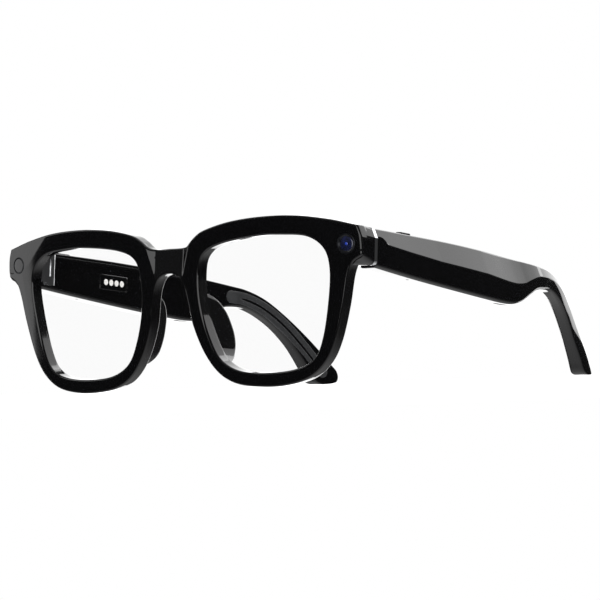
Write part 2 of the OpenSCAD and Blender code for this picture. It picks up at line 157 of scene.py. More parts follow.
@dataclass(frozen=True)
class Stance:
    """Tilts the design so that rims and ear tips share a plane, and moves it over the floor."""

    tilt: float
    back: float
    up: float

    def place(self, points: Array) -> Array:
        """Design millimetres to metres in the shared frame: a turn of -tilt about X, then a move.

        Args:
            points: rows of x, y and z.

        Returns:
            The placed rows.
        """
        c, s = math.cos(self.tilt), math.sin(self.tilt)
        x, y, z = points[..., 0], points[..., 1], points[..., 2]
        return np.stack([x, y * c + z * s + self.back, z * c - y * s + self.up], axis=-1) * MM


FRONT = FrontForm()
TOP_EDGE = smooth_curve([[12.8, 7.9], [30, 7.95], [50, 7.9], [70, 7.4], [90, 6.4], [104, 5.5], [112, 4.5],
                         [120, 1.8], [128, -3.2], [136, -9.2], [143, -14.8], [148.2, -19.2]])
LOW_EDGE = smooth_curve([[12.8, -4], [30, -5.4], [50, -6.8], [70, -8], [84, -8.5], [91, -7.4], [96.5, -4.8],
                         [101.5, -2.5], [107, -1.7], [112, -1.9], [118, -3.8], [124, -7.2], [130, -12.3],
                         [136, -18.9], [140.4, -24.7]])
TIP_EDGE = smooth_curve([[148.2, -19.2], [149.6, -22.4], [147.2, -25.4], [143.6, -26.2], [140.4, -24.7]], 4)
OUTER_PLAN = smooth_curve([[12.8, 72.9], [35, 72.3], [60, 71.9], [80, 71.1], [94, 70.2], [104, 68.9],
                           [112, 67.2], [120, 65.2], [128, 62.7], [136, 60.3], [144, 58.3], [150, 57.1]])
HOOK_LINE = smooth_curve([[105, 1.7], [112, 1.2], [120, -1.6], [128, -6.9], [136, -14], [143.6, -21.4]])
RIM_FOOT = FRONT.lay(35.0, -40.06, 0.0)


def standing() -> Stance:
    """The tilt that brings the ear tips down to the rims' lowest point, and the move that follows."""
    tilt = float(np.min(np.arctan2(TIP_EDGE[:, 1] - RIM_FOOT[2], TIP_EDGE[:, 0] - RIM_FOOT[1])))
    return Stance(tilt, -73.31, float(RIM_FOOT[1] * math.sin(tilt) - RIM_FOOT[2] * math.cos(tilt)))


STANCE = standing()


def outer_x(y: Array) -> Array:
    """Distance of a temple's outer face from the middle at y."""
    return np.interp(y, OUTER_PLAN[:, 0], OUTER_PLAN[:, 1])


def inner_x(y: Array) -> Array:
    """Distance of a temple's inner face from the middle at y."""
    return outer_x(y) - np.interp(y, [12.8, 90, 99, 108, 150], [7, 6.9, 6, 5.1, 4.9])


# ---- meshes ----
class Shell:
    """Gathers grids of points into one closed mesh and hands it over as a finished piece."""

    def __init__(self) -> None:
        """Starts empty."""
        self.points: list[Array] = []
        self.faces: list[Array] = []
        self.count = 0

    def grid(self, points: Array, round_u: bool = False, round_v: bool = False) -> "Shell":
        """Adds a grid of points, shape (u, v, 3), as quads.

        Args:
            points: the grid, in design millimetres.
            round_u: the last row joins the first.
            round_v: the last column joins the first.

        Returns:
            This shell, so that calls can follow each other.
        """
        nu, nv = points.shape[:2]
        index = self.count + np.arange(nu * nv).reshape(nu, nv)
        if round_u:
            index = np.vstack([index, index[:1]])
        if round_v:
            index = np.hstack([index, index[:, :1]])
        quads = np.stack([index[:-1, :-1], index[1:, :-1], index[1:, 1:], index[:-1, 1:]], axis=-1)
        self.points.append(points.reshape(-1, 3))
        self.faces.append(quads.reshape(-1, 4))
        self.count += nu * nv
        return self

    def tube(self, rows: Array) -> "Shell":
        """Adds a tube of closed sections, shape (u, v, 3), with both ends drawn to their middles."""
        first = np.repeat(rows[:1].mean(axis=1, keepdims=True), rows.shape[1], axis=1)
        last = np.repeat(rows[-1:].mean(axis=1, keepdims=True), rows.shape[1], axis=1)
        near = np.concatenate([first, 0.5 * (first + rows[:1]), rows, 0.5 * (last + rows[-1:]), last])
        return self.grid(near, round_v=True)

    def build(self, name: str, side: Side = Side.LEFT, crease: float = 35.0, mirror_too: bool = False,
              drop_middle: bool = False) -> bpy.types.Object:
        """Makes the object: placed, merged, closed and facing outwards.

        Args:
            name: the piece's name.
            side: RIGHT mirrors the shape across X.
            crease: edges that turn more than this many degrees stay sharp.
            mirror_too: adds the mirror image, welded along X = 0.
            drop_middle: removes faces that lie wholly in the plane X = 0, before the weld.

        Returns:
            The object, at the origin, with its place in its mesh.
        """
        points = np.vstack(self.points)
        faces = np.vstack(self.faces)
        if drop_middle:
            faces = faces[~np.all(np.abs(points[faces][..., 0]) < 1e-6, axis=1)]
        if mirror_too:
            faces = np.vstack([faces, faces[:, ::-1] + len(points)])
            points = np.vstack([points, points * [-1, 1, 1]])
        points = points * [side.value, 1, 1]
        mesh = bpy.data.meshes.new(name)
        mesh.from_pydata(STANCE.place(points), [], faces.tolist())
        finish_mesh(mesh, crease)
        piece = bpy.data.objects.new(name, mesh)
        bpy.context.scene.collection.objects.link(piece)
        return piece


def finish_mesh(mesh: bpy.types.Mesh, crease: float, weld: float = 2e-6) -> None:
    """Merges doubles, drops collapsed faces, closes pinholes, turns the shells outwards and shades them.

    Args:
        mesh: the mesh to finish.
        crease: edges that turn more than this many degrees stay sharp.
        weld: points closer than this many metres become one.
    """
    work = bmesh.new()
    work.from_mesh(mesh)
    bmesh.ops.remove_doubles(work, verts=work.verts, dist=weld)
    bmesh.ops.dissolve_degenerate(work, dist=weld * 0.5, edges=work.edges)
    bmesh.ops.holes_fill(work, edges=[edge for edge in work.edges if edge.is_boundary])
    bmesh.ops.recalc_face_normals(work, faces=work.faces)
    work.to_mesh(mesh)
    work.free()
    mesh.polygons.foreach_set("use_smooth", np.ones(len(mesh.polygons), bool))
    mesh.set_sharp_from_angle(angle=math.radians(crease))


def carve(piece: bpy.types.Object, cutters: Sequence[bpy.types.Object], crease: float = 35.0) -> None:
    """Cuts real openings into a piece with exact booleans, and removes the cutters.

    Args:
        piece: the piece to open.
        cutters: closed solids; each is used once.
        crease: edges that turn more than this many degrees stay sharp.
    """
    for cutter in cutters:
        modifier = piece.modifiers.new("opening", "BOOLEAN")
        modifier.operation, modifier.solver, modifier.object = "DIFFERENCE", "EXACT", cutter
    bpy.context.view_layer.update()
    cut = bpy.data.meshes.new_from_object(piece.evaluated_get(bpy.context.evaluated_depsgraph_get()))
    piece.modifiers.clear()
    old, piece.data = piece.data, cut
    bpy.data.meshes.remove(old)
    cut.name = piece.name
    for cutter in cutters:
        bpy.data.objects.remove(cutter)
    finish_mesh(cut, crease, 1e-8)


def lathe(profile: Array, seat: Callable[[Array], Array], sides: int = 64) -> Array:
    """A profile of radius and height turned about an axis.

    Args:
        profile: rows of (radius, height), from the axis round to the axis, or a closed loop.
        seat: turns local points, with +Z along the axis, into design points.
        sides: points round the axis.

    Returns:
        A grid of shape (profile, sides, 3) in design millimetres.
    """
    turn = np.linspace(0, 2 * math.pi, sides, endpoint=False)
    r, h = profile[:, 0:1], profile[:, 1:2]
    local = np.stack([r * np.cos(turn), r * np.sin(turn), np.broadcast_to(h, (len(profile), sides))], axis=-1)
    return seat(local)


def rounded_box_section(flat: int, arc: int) -> Array:
    """A rounded rectangle as weights, one row for each point round it.

    A row holds (height weight, depth weight, height offset, depth offset): the point lies at
    low + r + height weight (H - 2r) + r height offset, and the same across the depth. The walk
    goes up the outer face, in over the top, down the inner face and back under the bottom.

    Args:
        flat: steps along each flat side.
        arc: steps round each corner.

    Returns:
        The rows of weights.
    """
    rows = []
    corners = [(1, 0, 180), (1, 1, 90), (0, 1, 0), (0, 0, -90)]
    starts = [(0, 0), (1, 0), (1, 1), (0, 1)]
    for (h, d, angle), (h0, d0) in zip(corners, starts):
        t = np.linspace(0, 1, flat + 1)[1:-1]
        off_h = math.sin(math.radians(angle))
        off_d = math.cos(math.radians(angle))
        rows.append(np.stack([h0 + (h - h0) * t, d0 + (d - d0) * t,
                              np.full_like(t, off_h), np.full_like(t, off_d)], axis=1))
        a = np.radians(angle - np.linspace(0, 90, arc + 1))
        rows.append(np.stack([np.full_like(a, h), np.full_like(a, d), np.sin(a), np.cos(a)], axis=1))
    return np.vstack(rows)


# ---- finishes ----
class Grain(Enum):
    """How a surface's relief is drawn."""

    WAVE = "long, shallow waves of a polished moulding"
    PEBBLE = "cells of a soft-touch or leathery skin"
    BRUSHED = "scratches along one direction"
    BOARD = "tracks and pads of a circuit board"
    WRINKLE = "creases of foil or film"
    SPARK = "fine, even roughness of a moulded or blasted part"


def linear(colour: str) -> tuple[float, float, float, float]:
    """An sRGB hex colour as linear values: c/12.92 below 0.04045, else ((c + 0.055)/1.055)^2.4."""
    values = [int(colour[i:i + 2], 16) / 255 for i in (1, 3, 5)]
    return (*(v / 12.92 if v <= 0.04045 else ((v + 0.055) / 1.055) ** 2.4 for v in values), 1.0)


def add(tree: bpy.types.NodeTree, kind: str, settings: Optional[dict] = None,
        links: Optional[dict] = None) -> bpy.types.Node:
    """Adds one node.

    Args:
        tree: the material's node tree.
        kind: the node's type.
        settings: property or input (by name or number) to value.
        links: input (by name or number) to the socket that feeds it.

    Returns:
        The node.
    """
    made = tree.nodes.new(kind)
    for key, value in (settings or {}).items():
        if isinstance(key, int) or key in made.inputs:
            made.inputs[key].default_value = value
        else:
            setattr(made, key, value)
    for key, source in (links or {}).items():
        tree.links.new(source, made.inputs[key])
    return made


@dataclass(frozen=True)
class Finish:
    """One surface as a maker would specify it.

    rough is the mean roughness and rough_spread how far handling and moulding move it either way
    over patches of patch_mm. grain_mm is the real size of the relief and grain_um its height.
    shade is the second colour, which the patches mix in by shade_mix.
    """

    name: str
    colour: str
    shade: str
    rough: float
    rough_spread: float
    grain: Grain
    grain_mm: float
    grain_um: float
    patch_mm: float = 9.0
    shade_mix: float = 0.5
    metallic: float = 0.0
    ior: float = 1.5
    coat: float = 0.0
    coat_rough: float = 0.03
    alpha: float = 1.0
    sheen: float = 0.0

    def relief(self, tree: bpy.types.NodeTree, where: bpy.types.NodeSocket) -> bpy.types.NodeSocket:
        """The grain's height, 0 to 1, on Object coordinates (1 unit is a metre).

        Args:
            tree: the material's node tree.
            where: the Object coordinates.

        Returns:
            The socket that gives the height.
        """
        scale = 1000 / self.grain_mm
        if self.grain is Grain.PEBBLE:
            return add(tree, "ShaderNodeTexVoronoi",
                       {"feature": "SMOOTH_F1", "Scale": scale, "Smoothness": 0.6},
                       {"Vector": where}).outputs["Distance"]
        if self.grain is Grain.BRUSHED:
            # scratches run along Y: the pattern is stretched 20 times that way
            along = add(tree, "ShaderNodeMapping", {"Scale": (1.0, 0.05, 1.0)}, {"Vector": where})
            return add(tree, "ShaderNodeTexNoise", {"Scale": scale, "Detail": 4.0},
                       {"Vector": along.outputs[0]}).outputs["Fac"]
        if self.grain is Grain.BOARD:
            return add(tree, "ShaderNodeTexVoronoi", {"distance": "MANHATTAN", "Scale": scale},
                       {"Vector": where}).outputs["Distance"]
        detail = {Grain.WAVE: 1.0, Grain.WRINKLE: 5.0, Grain.SPARK: 3.0}[self.grain]
        return add(tree, "ShaderNodeTexNoise", {"Scale": scale, "Detail": detail},
                   {"Vector": where}).outputs["Fac"]

    def make(self) -> bpy.types.Material:
        """Builds the node material.

        Returns:
            The material, named for the surface.
        """
        material = bpy.data.materials.new(self.name)
        material.use_nodes = True
        tree = material.node_tree
        tree.nodes.clear()
        where = add(tree, "ShaderNodeTexCoord").outputs["Object"]
        patches = add(tree, "ShaderNodeTexNoise", {"Scale": 1000 / self.patch_mm, "Detail": 4.0},
                      {"Vector": where}).outputs["Fac"]
        height = self.relief(tree, where)
        rough = add(tree, "ShaderNodeMapRange",
                    {"From Min": 0.3, "From Max": 0.7, "To Min": max(self.rough - self.rough_spread, 0.0),
                     "To Max": self.rough + self.rough_spread}, {"Value": patches})
        tone = add(tree, "ShaderNodeMapRange", {"From Min": 0.25, "From Max": 0.75, "To Max": self.shade_mix},
                   {"Value": height if self.grain is Grain.BOARD else patches})
        colour = add(tree, "ShaderNodeMix", {"data_type": "RGBA"}, {0: tone.outputs[0]})
        for place, value in ((6, self.colour), (7, self.shade)):
            colour.inputs[place].default_value = linear(value)
        bump = add(tree, "ShaderNodeBump", {"Strength": 1.0, "Distance": self.grain_um * 1e-6},
                   {"Height": height})
        shader = add(tree, "ShaderNodeBsdfPrincipled",
                     {"Metallic": self.metallic, "IOR": self.ior, "Coat Weight": self.coat,
                      "Coat Roughness": self.coat_rough, "Alpha": self.alpha, "Sheen Weight": self.sheen},
                     {"Base Color": colour.outputs[2], "Roughness": rough.outputs[0],
                      "Normal": bump.outputs[0]})
        add(tree, "ShaderNodeOutputMaterial", links={"Surface": shader.outputs[0]})
        return material


FINISHES = {
    # injection-moulded nylon, polished and lacquered: near-black and mirror-like, with faint long waves
    "glossy_black": Finish("polished_black_nylon", "#040405", "#070708", 0.05, 0.025, Grain.WAVE, 6, 0.6),
    # soft-touch elastomer moulded over the ear pieces: dark grey, dull, pebbled at a quarter millimetre,
    # drawn at 0.5 mm so that it shows
    "soft_black": Finish("soft_touch_elastomer", "#232426", "#2f3032", 0.52, 0.08, Grain.PEBBLE, 0.5, 30,
                         patch_mm=3, sheen=0.1),
    # cast and hard-coated polycarbonate with an anti-reflective layer: all but invisible
    "clear_lens": Finish("coated_clear_polycarbonate", "#0b0c0e", "#111316", 0.02, 0.01, Grain.WAVE, 20, 0.2,
                         alpha=0.02),
    # polished and chromed zinc: the bright seam between front and temple
    "bright_metal": Finish("polished_chrome", "#e6e7e9", "#d6d8dc", 0.07, 0.03, Grain.WAVE, 4, 0.4,
                           metallic=1.0),
    # turned and tumbled stainless steel: hinge leaves, pins and screws
    "steel": Finish("tumbled_stainless", "#cfd0d2", "#b4b6ba", 0.2, 0.07, Grain.BRUSHED, 0.12, 1.5,
                    patch_mm=2, metallic=1.0),
    # multi-coated glass over a lens stack: deep blue-violet with a wet shine
    "camera_glass": Finish("coated_lens_glass", "#07080f", "#12183c", 0.03, 0.015, Grain.WAVE, 3, 0.2,
                           patch_mm=1.6, shade_mix=1.0, coat=1.0),
    # smoked acrylic over the light
    "dark_glass": Finish("smoked_acrylic", "#08080a", "#101014", 0.06, 0.03, Grain.WAVE, 4, 0.3),
    # anodised and lathe-cut aluminium in black
    "black_metal": Finish("black_anodised_aluminium", "#1b1c1f", "#2a2b2f", 0.26, 0.06, Grain.BRUSHED, 0.1, 1,
                          patch_mm=2, metallic=0.8),
    # bright plated contact pads, worn to a satin
    "contact_metal": Finish("plated_contact", "#f6f5f2", "#e8e6e0", 0.34, 0.06, Grain.SPARK, 0.2, 2,
                            patch_mm=1.2, metallic=0.2),
    # solder mask over copper tracks at 0.8 mm pitch
    "board_green": Finish("solder_mask", "#14492b", "#2f7a4a", 0.34, 0.06, Grain.BOARD, 0.8, 12,
                          patch_mm=3, shade_mix=1.0),
    # amber polyimide film over copper
    "flex_amber": Finish("polyimide_film", "#9a5a1c", "#b97a34", 0.3, 0.08, Grain.WRINKLE, 2, 6, patch_mm=3),
    # laminated aluminium pouch
    "cell_foil": Finish("pouch_foil", "#a6abb2", "#8e949c", 0.28, 0.08, Grain.WRINKLE, 2.5, 25,
                        patch_mm=4, metallic=0.9),
    # glass-filled nylon of the speaker's body
    "speaker_black": Finish("glass_filled_nylon", "#242527", "#2e2f31", 0.5, 0.08, Grain.SPARK, 0.25, 6,
                            patch_mm=2),
    # woven and pressed steel cloth behind the sound slot
    "mesh_grey": Finish("acoustic_steel_cloth", "#3c3e42", "#55575c", 0.4, 0.08, Grain.PEBBLE, 0.3, 40,
                        patch_mm=1, metallic=0.8),
    # phosphor under the light's lens
    "led_yellow": Finish("led_phosphor", "#e9e2b4", "#d8cf90", 0.45, 0.08, Grain.SPARK, 0.2, 5, patch_mm=1),
    # liquid-crystal polymer body of the push switch
    "switch_white": Finish("switch_polymer", "#d9d9d6", "#c8c8c4", 0.42, 0.06, Grain.SPARK, 0.2, 4,
                           patch_mm=1),
}

# vacuum-coated glass: the innermost lens shows its blue-violet coating through the cover
PUPIL = Finish("blue_lens_coating", "#152a86", "#2c4cc0", 0.08, 0.03, Grain.WAVE, 2, 0.2, patch_mm=0.8,
               shade_mix=1.0, metallic=0.3, coat=1.0)


class Paintshop:
    """Makes each finish once and puts it on pieces and on carried-over CAD nodes."""

    def __init__(self) -> None:
        """Builds every finish."""
        self.materials = {slot: finish.make() for slot, finish in FINISHES.items()}

    def paint(self, piece: bpy.types.Object, slot: str, body: str, *nodes: str) -> bpy.types.Object:
        """Finishes a new piece.

        Args:
            piece: the piece.
            slot: the record's material slot.
            body: the CAD body that it rides on.
            nodes: the CAD nodes that it stands for.

        Returns:
            The piece.
        """
        piece.data.materials.clear()
        piece.data.materials.append(self.materials[slot])
        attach(piece, body)
        if nodes:
            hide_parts(*nodes)
        LOG.info("%s: %d faces on %s, for %s", piece.name, len(piece.data.polygons), body,
                 ", ".join(nodes) or "-")
        return piece

    def repaint_nodes(self) -> None:
        """Gives every CAD node the finish of its record slot."""
        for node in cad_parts.values():
            for place in node.material_slots:
                place.material = self.materials[place.material.name.split(".")[0]]


# ---- the front ----
@dataclass
class Front:
    """Rims, bridge and end pieces as one moulding, with its nose pads, brow cover and lenses."""

    shop: Paintshop
    rim_depth: float = 4.3
    edge_r: float = 0.6
    hole_edge_r: float = 0.3
    bevel: float = 0.5
    lens_t: float = 1.6
    lens_inset: float = 1.6
    lens_grow: float = 1.02
    lens_middle: tuple[float, float] = (36.6, -14.8)
    bridge_recess: float = 1.5
    flank_top: tuple[float, float] = (8.7, 4.3)
    flank_lean: float = 0.326
    flank_slope: float = 0.52
    facet_slope: float = 0.05
    facet_top: tuple[float, float] = (53.9, 10.4)
    facet_top_way: tuple[float, float] = (0.66, 0.753)
    facet_side: tuple[float, float] = (66.2, -0.3)
    facet_side_way: tuple[float, float] = (0.985, -0.17)
    pad_root: tuple[float, float, float] = (7.6, 3.2, -9.0)
    pad_turn: float = math.radians(-11)
    pad_lean: float = math.radians(-15.5)
    pad_bend: float = 0.065
    strip_half: float = 1.4
    strip_r: float = 0.25
    stations: int = 520
    hole_samples: int = 1600
    block_y: float = 11.2
    disc_x: float = 67.7
    disc_z: float = 2.5
    camera_r: float = 3.15
    camera_bore: float = 2.2
    light_r: float = 2.65
    light_bore: float = 1.75

    def outline(self) -> Array:
        """The left half's outer line, from the top of the bridge round to its underside."""
        brow_top = smooth_curve([[0, 4], [5, 4], [8, 4.7], [11, 7], [15, 9], [25, 11.1], [37, 11.95],
                                 [50, 11.55], [62, 9.7], [71.6, 7.5]])
        end_edge = smooth_curve([[71.7, 7.5], [72.7, 4.5], [73, 1], [72.9, -1.6]])
        rim_bottom = smooth_curve([[72.3, -2], [69.4, -3.8], [67.6, -8], [65.4, -17], [62, -27], [58, -33.5],
                                   [52, -37.8], [44, -39.7], [35, -40], [25, -38.8], [18, -35.3],
                                   [12.7, -29], [8.8, -20.5], [7.2, -13], [6.2, -8.8], [4.2, -5.3],
                                   [1.6, -4], [0, -3.8]])
        return np.vstack([brow_top, end_edge, rim_bottom])

    def opening(self) -> Array:
        """The left lens opening, as a closed line."""
        return smooth_ring([[35, 6], [45, 5.9], [54, 4.8], [59.5, 1], [61.2, -5], [60.3, -14], [57.6, -25.5],
                            [54, -32], [47, -34.9], [36, -35.7], [26, -34.7], [19, -31], [15, -24],
                            [12.4, -15], [12, -6], [14, 1], [21, 4.3]])

    def opening_samples(self, count: int) -> Array:
        """The opening in count points, equally far apart, with the first not repeated."""
        ring = self.opening()
        return evenly(np.vstack([ring, ring[:1]]), count + 1)[:-1]

    def face_depth(self, x: Array, z: Array) -> Array:
        """How far the face is cut back: the bridge's recess and the end pieces' facets.

        The bridge's flanks slope in from a line that runs down its sides, to a floor that is deep
        at the top and runs out at the arch. The outer facet starts at a slanted line across the
        end piece, or at an upright one below it, and grows with the distance beyond that line.

        Args:
            x: distance from the middle.
            z: height on the face.

        Returns:
            The depth of the cut at each point.
        """
        flank_x = self.flank_top[0] + self.flank_lean * (z - self.flank_top[1])
        flank = self.flank_slope * soft_ramp(flank_x - x, 0.12)
        floor = self.bridge_recess * np.clip((z + 5.2) / 9.5, 0, 1.15)
        recess = flank - soft_ramp(flank - floor, 0.05)
        slanted, upright = ((x - at[0]) * way[0] + (z - at[1]) * way[1] for at, way in (
            (self.facet_top, self.facet_top_way), (self.facet_side, self.facet_side_way)))
        beyond = np.where(z > self.facet_side[1], slanted, upright)
        return recess + self.facet_slope * soft_ramp(beyond, 0.3)

    @staticmethod
    def level_off(x: Array, z: Array, depth: Array) -> Array:
        """How far the end pieces' walls drop with depth, so that they run level and not with the lean."""
        return depth * math.sin(FRONT.lean) * smooth_step(x, 61, 70) * smooth_step(z, -8, -3)

    def ties(self) -> tuple[Array, Array, Array, Array, Array]:
        """Pairs each station of the outer line with a point of the opening.

        A tie is the nearest point's place along the opening, smoothed with a bell-shaped window.
        The stations go on up the middle line of the bridge, so that they close the half.

        Returns:
            The stations, their normals into the rim, the tied points, their normals into the
            rim, and which stations lie on the middle line.
        """
        outer = evenly(self.outline(), self.stations)
        down = np.linspace(outer[-1, 1] + self.edge_r, outer[0, 1] - self.edge_r, 28)
        middle = np.stack([np.zeros_like(down), down], axis=1)
        line = np.vstack([outer, middle])
        hole = self.opening_samples(self.hole_samples)
        tie = np.argmin(((line[:, None] - hole[None]) ** 2).sum(-1), axis=1).astype(float)
        tie = np.unwrap(tie, period=len(hole))
        loop = len(hole) * np.sign(tie[-1] - tie[0] + (tie[1] - tie[0]))
        reach = 30
        wide = np.concatenate([tie[-reach:] - loop, tie, tie[:reach] + loop])
        bell = np.hanning(reach + 3)[1:-1]
        tie = np.convolve(wide, bell / bell.sum(), "same")[reach:-reach]
        places = np.arange(len(hole) + 1)
        inner = np.stack([np.interp(tie % len(hole), places, np.append(hole[:, k], hole[0, k]))
                          for k in (0, 1)], axis=1)
        out_n = self.inward(outer, closed=False)
        out_n[0], out_n[-1] = (0, -1), (0, 1)
        out_n = np.vstack([out_n, np.zeros_like(middle)])
        return line, out_n, inner, -self.inward(inner, closed=True), np.arange(len(line)) >= len(outer)

    def half_rows(self) -> Array:
        """Sections of the left half, from the outer line to the opening and back.

        The section walks: outer wall, front edge, face, bevel, wall of the opening, rear edge,
        rear face and rear outer edge. Round edges are quarter circles in shift and depth.

        Returns:
            The sections, shape (u, v, 3).
        """
        line, out_n, inner, in_n, on_middle = self.ties()
        depth, r, hole_r = self.rim_depth, self.edge_r, self.hole_edge_r
        columns = []

        def column(base: Array, normal: Array, shift: float, deep: float) -> None:
            """Adds one line of the section: base + normal * shift, at depth deep."""
            columns.append((base + normal * shift, np.full(len(base), float(deep))))

        for d in (depth - r, depth * 0.6, depth * 0.35, r):
            column(line, out_n, 0, d)
        for a in np.radians(np.linspace(18, 90, 5)):
            column(line, out_n, r * (1 - math.cos(a)), r * (1 - math.sin(a)))
        wall_columns = len(columns)
        face_from, face_to = line + out_n * r, inner + in_n * self.bevel
        for t in np.concatenate([[0.02], np.linspace(0, 1, 34)[1:-1], [0.985]]):
            column(face_from * (1 - t) + face_to * t, in_n, 0, 0)
        # the bevel is a flat between two small rounds
        for share, d in ((1.0, 0.0), (0.9, 0.01), (0.8, 0.04), (0.24, 0.26), (0.12, 0.34),
                         (0.03, 0.45), (0, 0.6)):
            column(inner, in_n, self.bevel * share, d)
        for d in (0.8, 2.0, 3.2, depth - 0.35):
            column(inner, in_n, 0, d)
        for a in np.radians(np.linspace(30, 90, 3)):
            column(inner, in_n, hole_r * (1 - math.cos(a)), depth - hole_r + hole_r * math.sin(a))
        back_from, back_to = inner + in_n * (hole_r + 0.1), line + out_n * r
        for t in np.linspace(0, 1, 12)[:-1]:
            column(back_from * (1 - t) + back_to * t, in_n, 0, depth)
        rear_columns = len(columns)
        for a in np.radians(np.linspace(90, 18, 5)):
            column(line, out_n, r * (1 - math.cos(a)), depth - r * (1 - math.sin(a)))
        flat, deep = (np.stack(part, axis=1) for part in zip(*columns))
        # on the middle line there is no outer wall: its points gather on the front or the rear edge
        place = np.arange(deep.shape[1])[None]
        middle = on_middle[:, None]
        deep = np.where(middle & (place < wall_columns) & (deep < depth * 0.5), 0, deep)
        deep = np.where(middle & (place >= rear_columns), depth, deep)
        cut = self.face_depth(flat[..., 0], flat[..., 1])
        deep = deep + cut * np.clip(1 - deep / (depth - 1), 0, 1)
        flat[..., 0] = np.where(np.abs(flat[..., 0]) < 1e-4, 0, flat[..., 0])
        flat[..., 1] -= self.level_off(flat[..., 0], flat[..., 1], deep)
        return FRONT.lay(flat[..., 0], flat[..., 1], deep)

    @staticmethod
    def inward(line: Array, closed: bool) -> Array:
        """Unit normals to the right of a clockwise line, which point into the shape it bounds.

        Args:
            line: the line's points.
            closed: whether the last point joins the first.

        Returns:
            One normal for each point.
        """
        step = np.roll(line, -2, axis=0) - np.roll(line, 2, axis=0) if closed else np.gradient(line, axis=0)
        return unit_rows(np.stack([step[:, 1], -step[:, 0]], axis=1))

    def block(self) -> Shell:
        """The left end block: a loft from the face's outline to the flat joint behind it.

        Both ends have matched corners, each rounded by its own curve, and the section between
        them is a straight blend.

        Returns:
            The shell, ready to build.
        """
        near = [[62.5, 8.9], [66.8, 8.45], [71.2, 7.55], [71.8, 7.0], [72.78, 4.4], [73.03, 3.5], [73.05, 1],
                [72.97, -1.2], [72.3, -2.3], [70.6, -3.1], [69, -4.4], [66, -5.0], [62.5, -5.0]]
        far = [[63.2, 7.85], [67.2, 7.9], [71.1, 7.9], [71.75, 7.45], [72.85, 5.1], [73, 4.5], [73, 1],
               [73, -1.7], [72.55, -2.95], [71.3, -3.5], [69, -3.5], [66, -3.5], [63.2, -3.5]]
        count, sunk, corner = 140, 0.55, 0.12
        near_line, far_line = (evenly(smooth_curve(p, 10), count) for p in (near, far))
        depth = np.full(count, sunk) + self.face_depth(near_line[:, 0], near_line[:, 1])
        front = FRONT.lay(near_line[:, 0], near_line[:, 1] - self.level_off(*near_line.T, depth), depth)
        rear = np.stack([far_line[:, 0], np.full(count, self.block_y), far_line[:, 1]], axis=1)
        middle = rear.mean(axis=0)
        rows = [front * (1 - t) + rear * t for t in (0.0, 0.15, 0.3, 0.5, 0.7, 0.85, 0.97)]
        for inset in (0.0, corner):
            row = rear + (middle - rear) * inset / 5
            row[:, 1] = self.block_y - corner + inset
            rows.append(row)
        return Shell().tube(np.stack(rows))

    def seat_disc(self, side: Side) -> Callable[[Array], Array]:
        """The seat of the camera or the light, square to the outer facet.

        Args:
            side: the side that the seat is on.

        Returns:
            A function that turns points with +Z along the facet's normal into design points.
        """
        lean, turn = FRONT.lean, math.asin(self.disc_x / FRONT.wrap_radius)
        along_x, along_z = self.facet_top_way
        m = (Matrix.Rotation(lean, 3, "X") @ Matrix.Rotation(turn, 3, "Z")
             @ Matrix.Rotation(math.pi / 2, 3, "X")
             @ Matrix.Rotation(self.facet_slope, 3, Vector((-along_z, along_x, 0))))
        origin = np.array([self.disc_x, self.disc_x**2 / (2 * FRONT.wrap_radius)
                           - self.disc_z * math.tan(lean), self.disc_z])
        basis = np.array(m)
        sunk = np.array([0, 0, float(self.face_depth(np.array(self.disc_x), np.array(self.disc_z)))])
        return lambda local: ((local - sunk) @ basis.T + origin) * [side.value, 1, 1]

    def build_rims(self) -> None:
        """Moulds the front and bores it for the camera and the light."""
        shell = Shell().grid(self.half_rows(), round_u=True, round_v=True)
        piece = shell.build("rims", mirror_too=True, drop_middle=True)
        blocks = [self.block().build(f"end_block_{side.word}", side) for side in Side]
        clear, seat_z, bore_z = 0.04, -0.65, -3.4
        bores = []
        for side, radius, bore in ((Side.LEFT, self.camera_r, self.camera_bore),
                                   (Side.RIGHT, self.light_r, self.light_bore)):
            profile = np.array([[0, bore_z], [bore, bore_z], [bore, seat_z], [radius + clear, seat_z],
                                [radius + clear, 1.5], [0, 1.5]])
            bores.append(Shell().grid(lathe(profile, self.seat_disc(side)), round_v=True).build("bore"))
        for block in blocks:
            union = piece.modifiers.new("join", "BOOLEAN")
            union.operation, union.solver, union.object = "UNION", "EXACT", block
        carve(piece, bores, 30)
        for block in blocks:
            bpy.data.objects.remove(block)
        self.shop.paint(piece, "glossy_black", "front", "front_frame", "endpiece_cover_left",
                        "endpiece_cover_right")

    def build_lenses(self) -> None:
        """Grinds both lenses: two wrapped faces, with a ground edge hidden in the rim's groove.

        Each face is rings from its middle, at shares of the edge's radius that grow as a square
        root, so that the rings hold equal areas.
        """
        middle = np.array(self.lens_middle)
        edge = middle + (self.opening_samples(240) - middle) * self.lens_grow
        rings = np.maximum(np.sqrt(np.linspace(0, 1, 16)), 1e-5)
        front_d, rear_d = self.lens_inset, self.lens_inset + self.lens_t
        walk = [(s, front_d) for s in rings] + [(1.0, (front_d + rear_d) / 2)]
        walk += [(s, rear_d) for s in rings[::-1]]
        rows = np.stack([FRONT.lay(*(middle + (edge - middle) * s).T, np.full(len(edge), d)) for s, d in walk])
        for side in Side:
            piece = Shell().grid(rows, round_v=True).build(f"lens_{side.word}_clear", side)
            self.shop.paint(piece, "clear_lens", "front", f"lens_{side.word}")

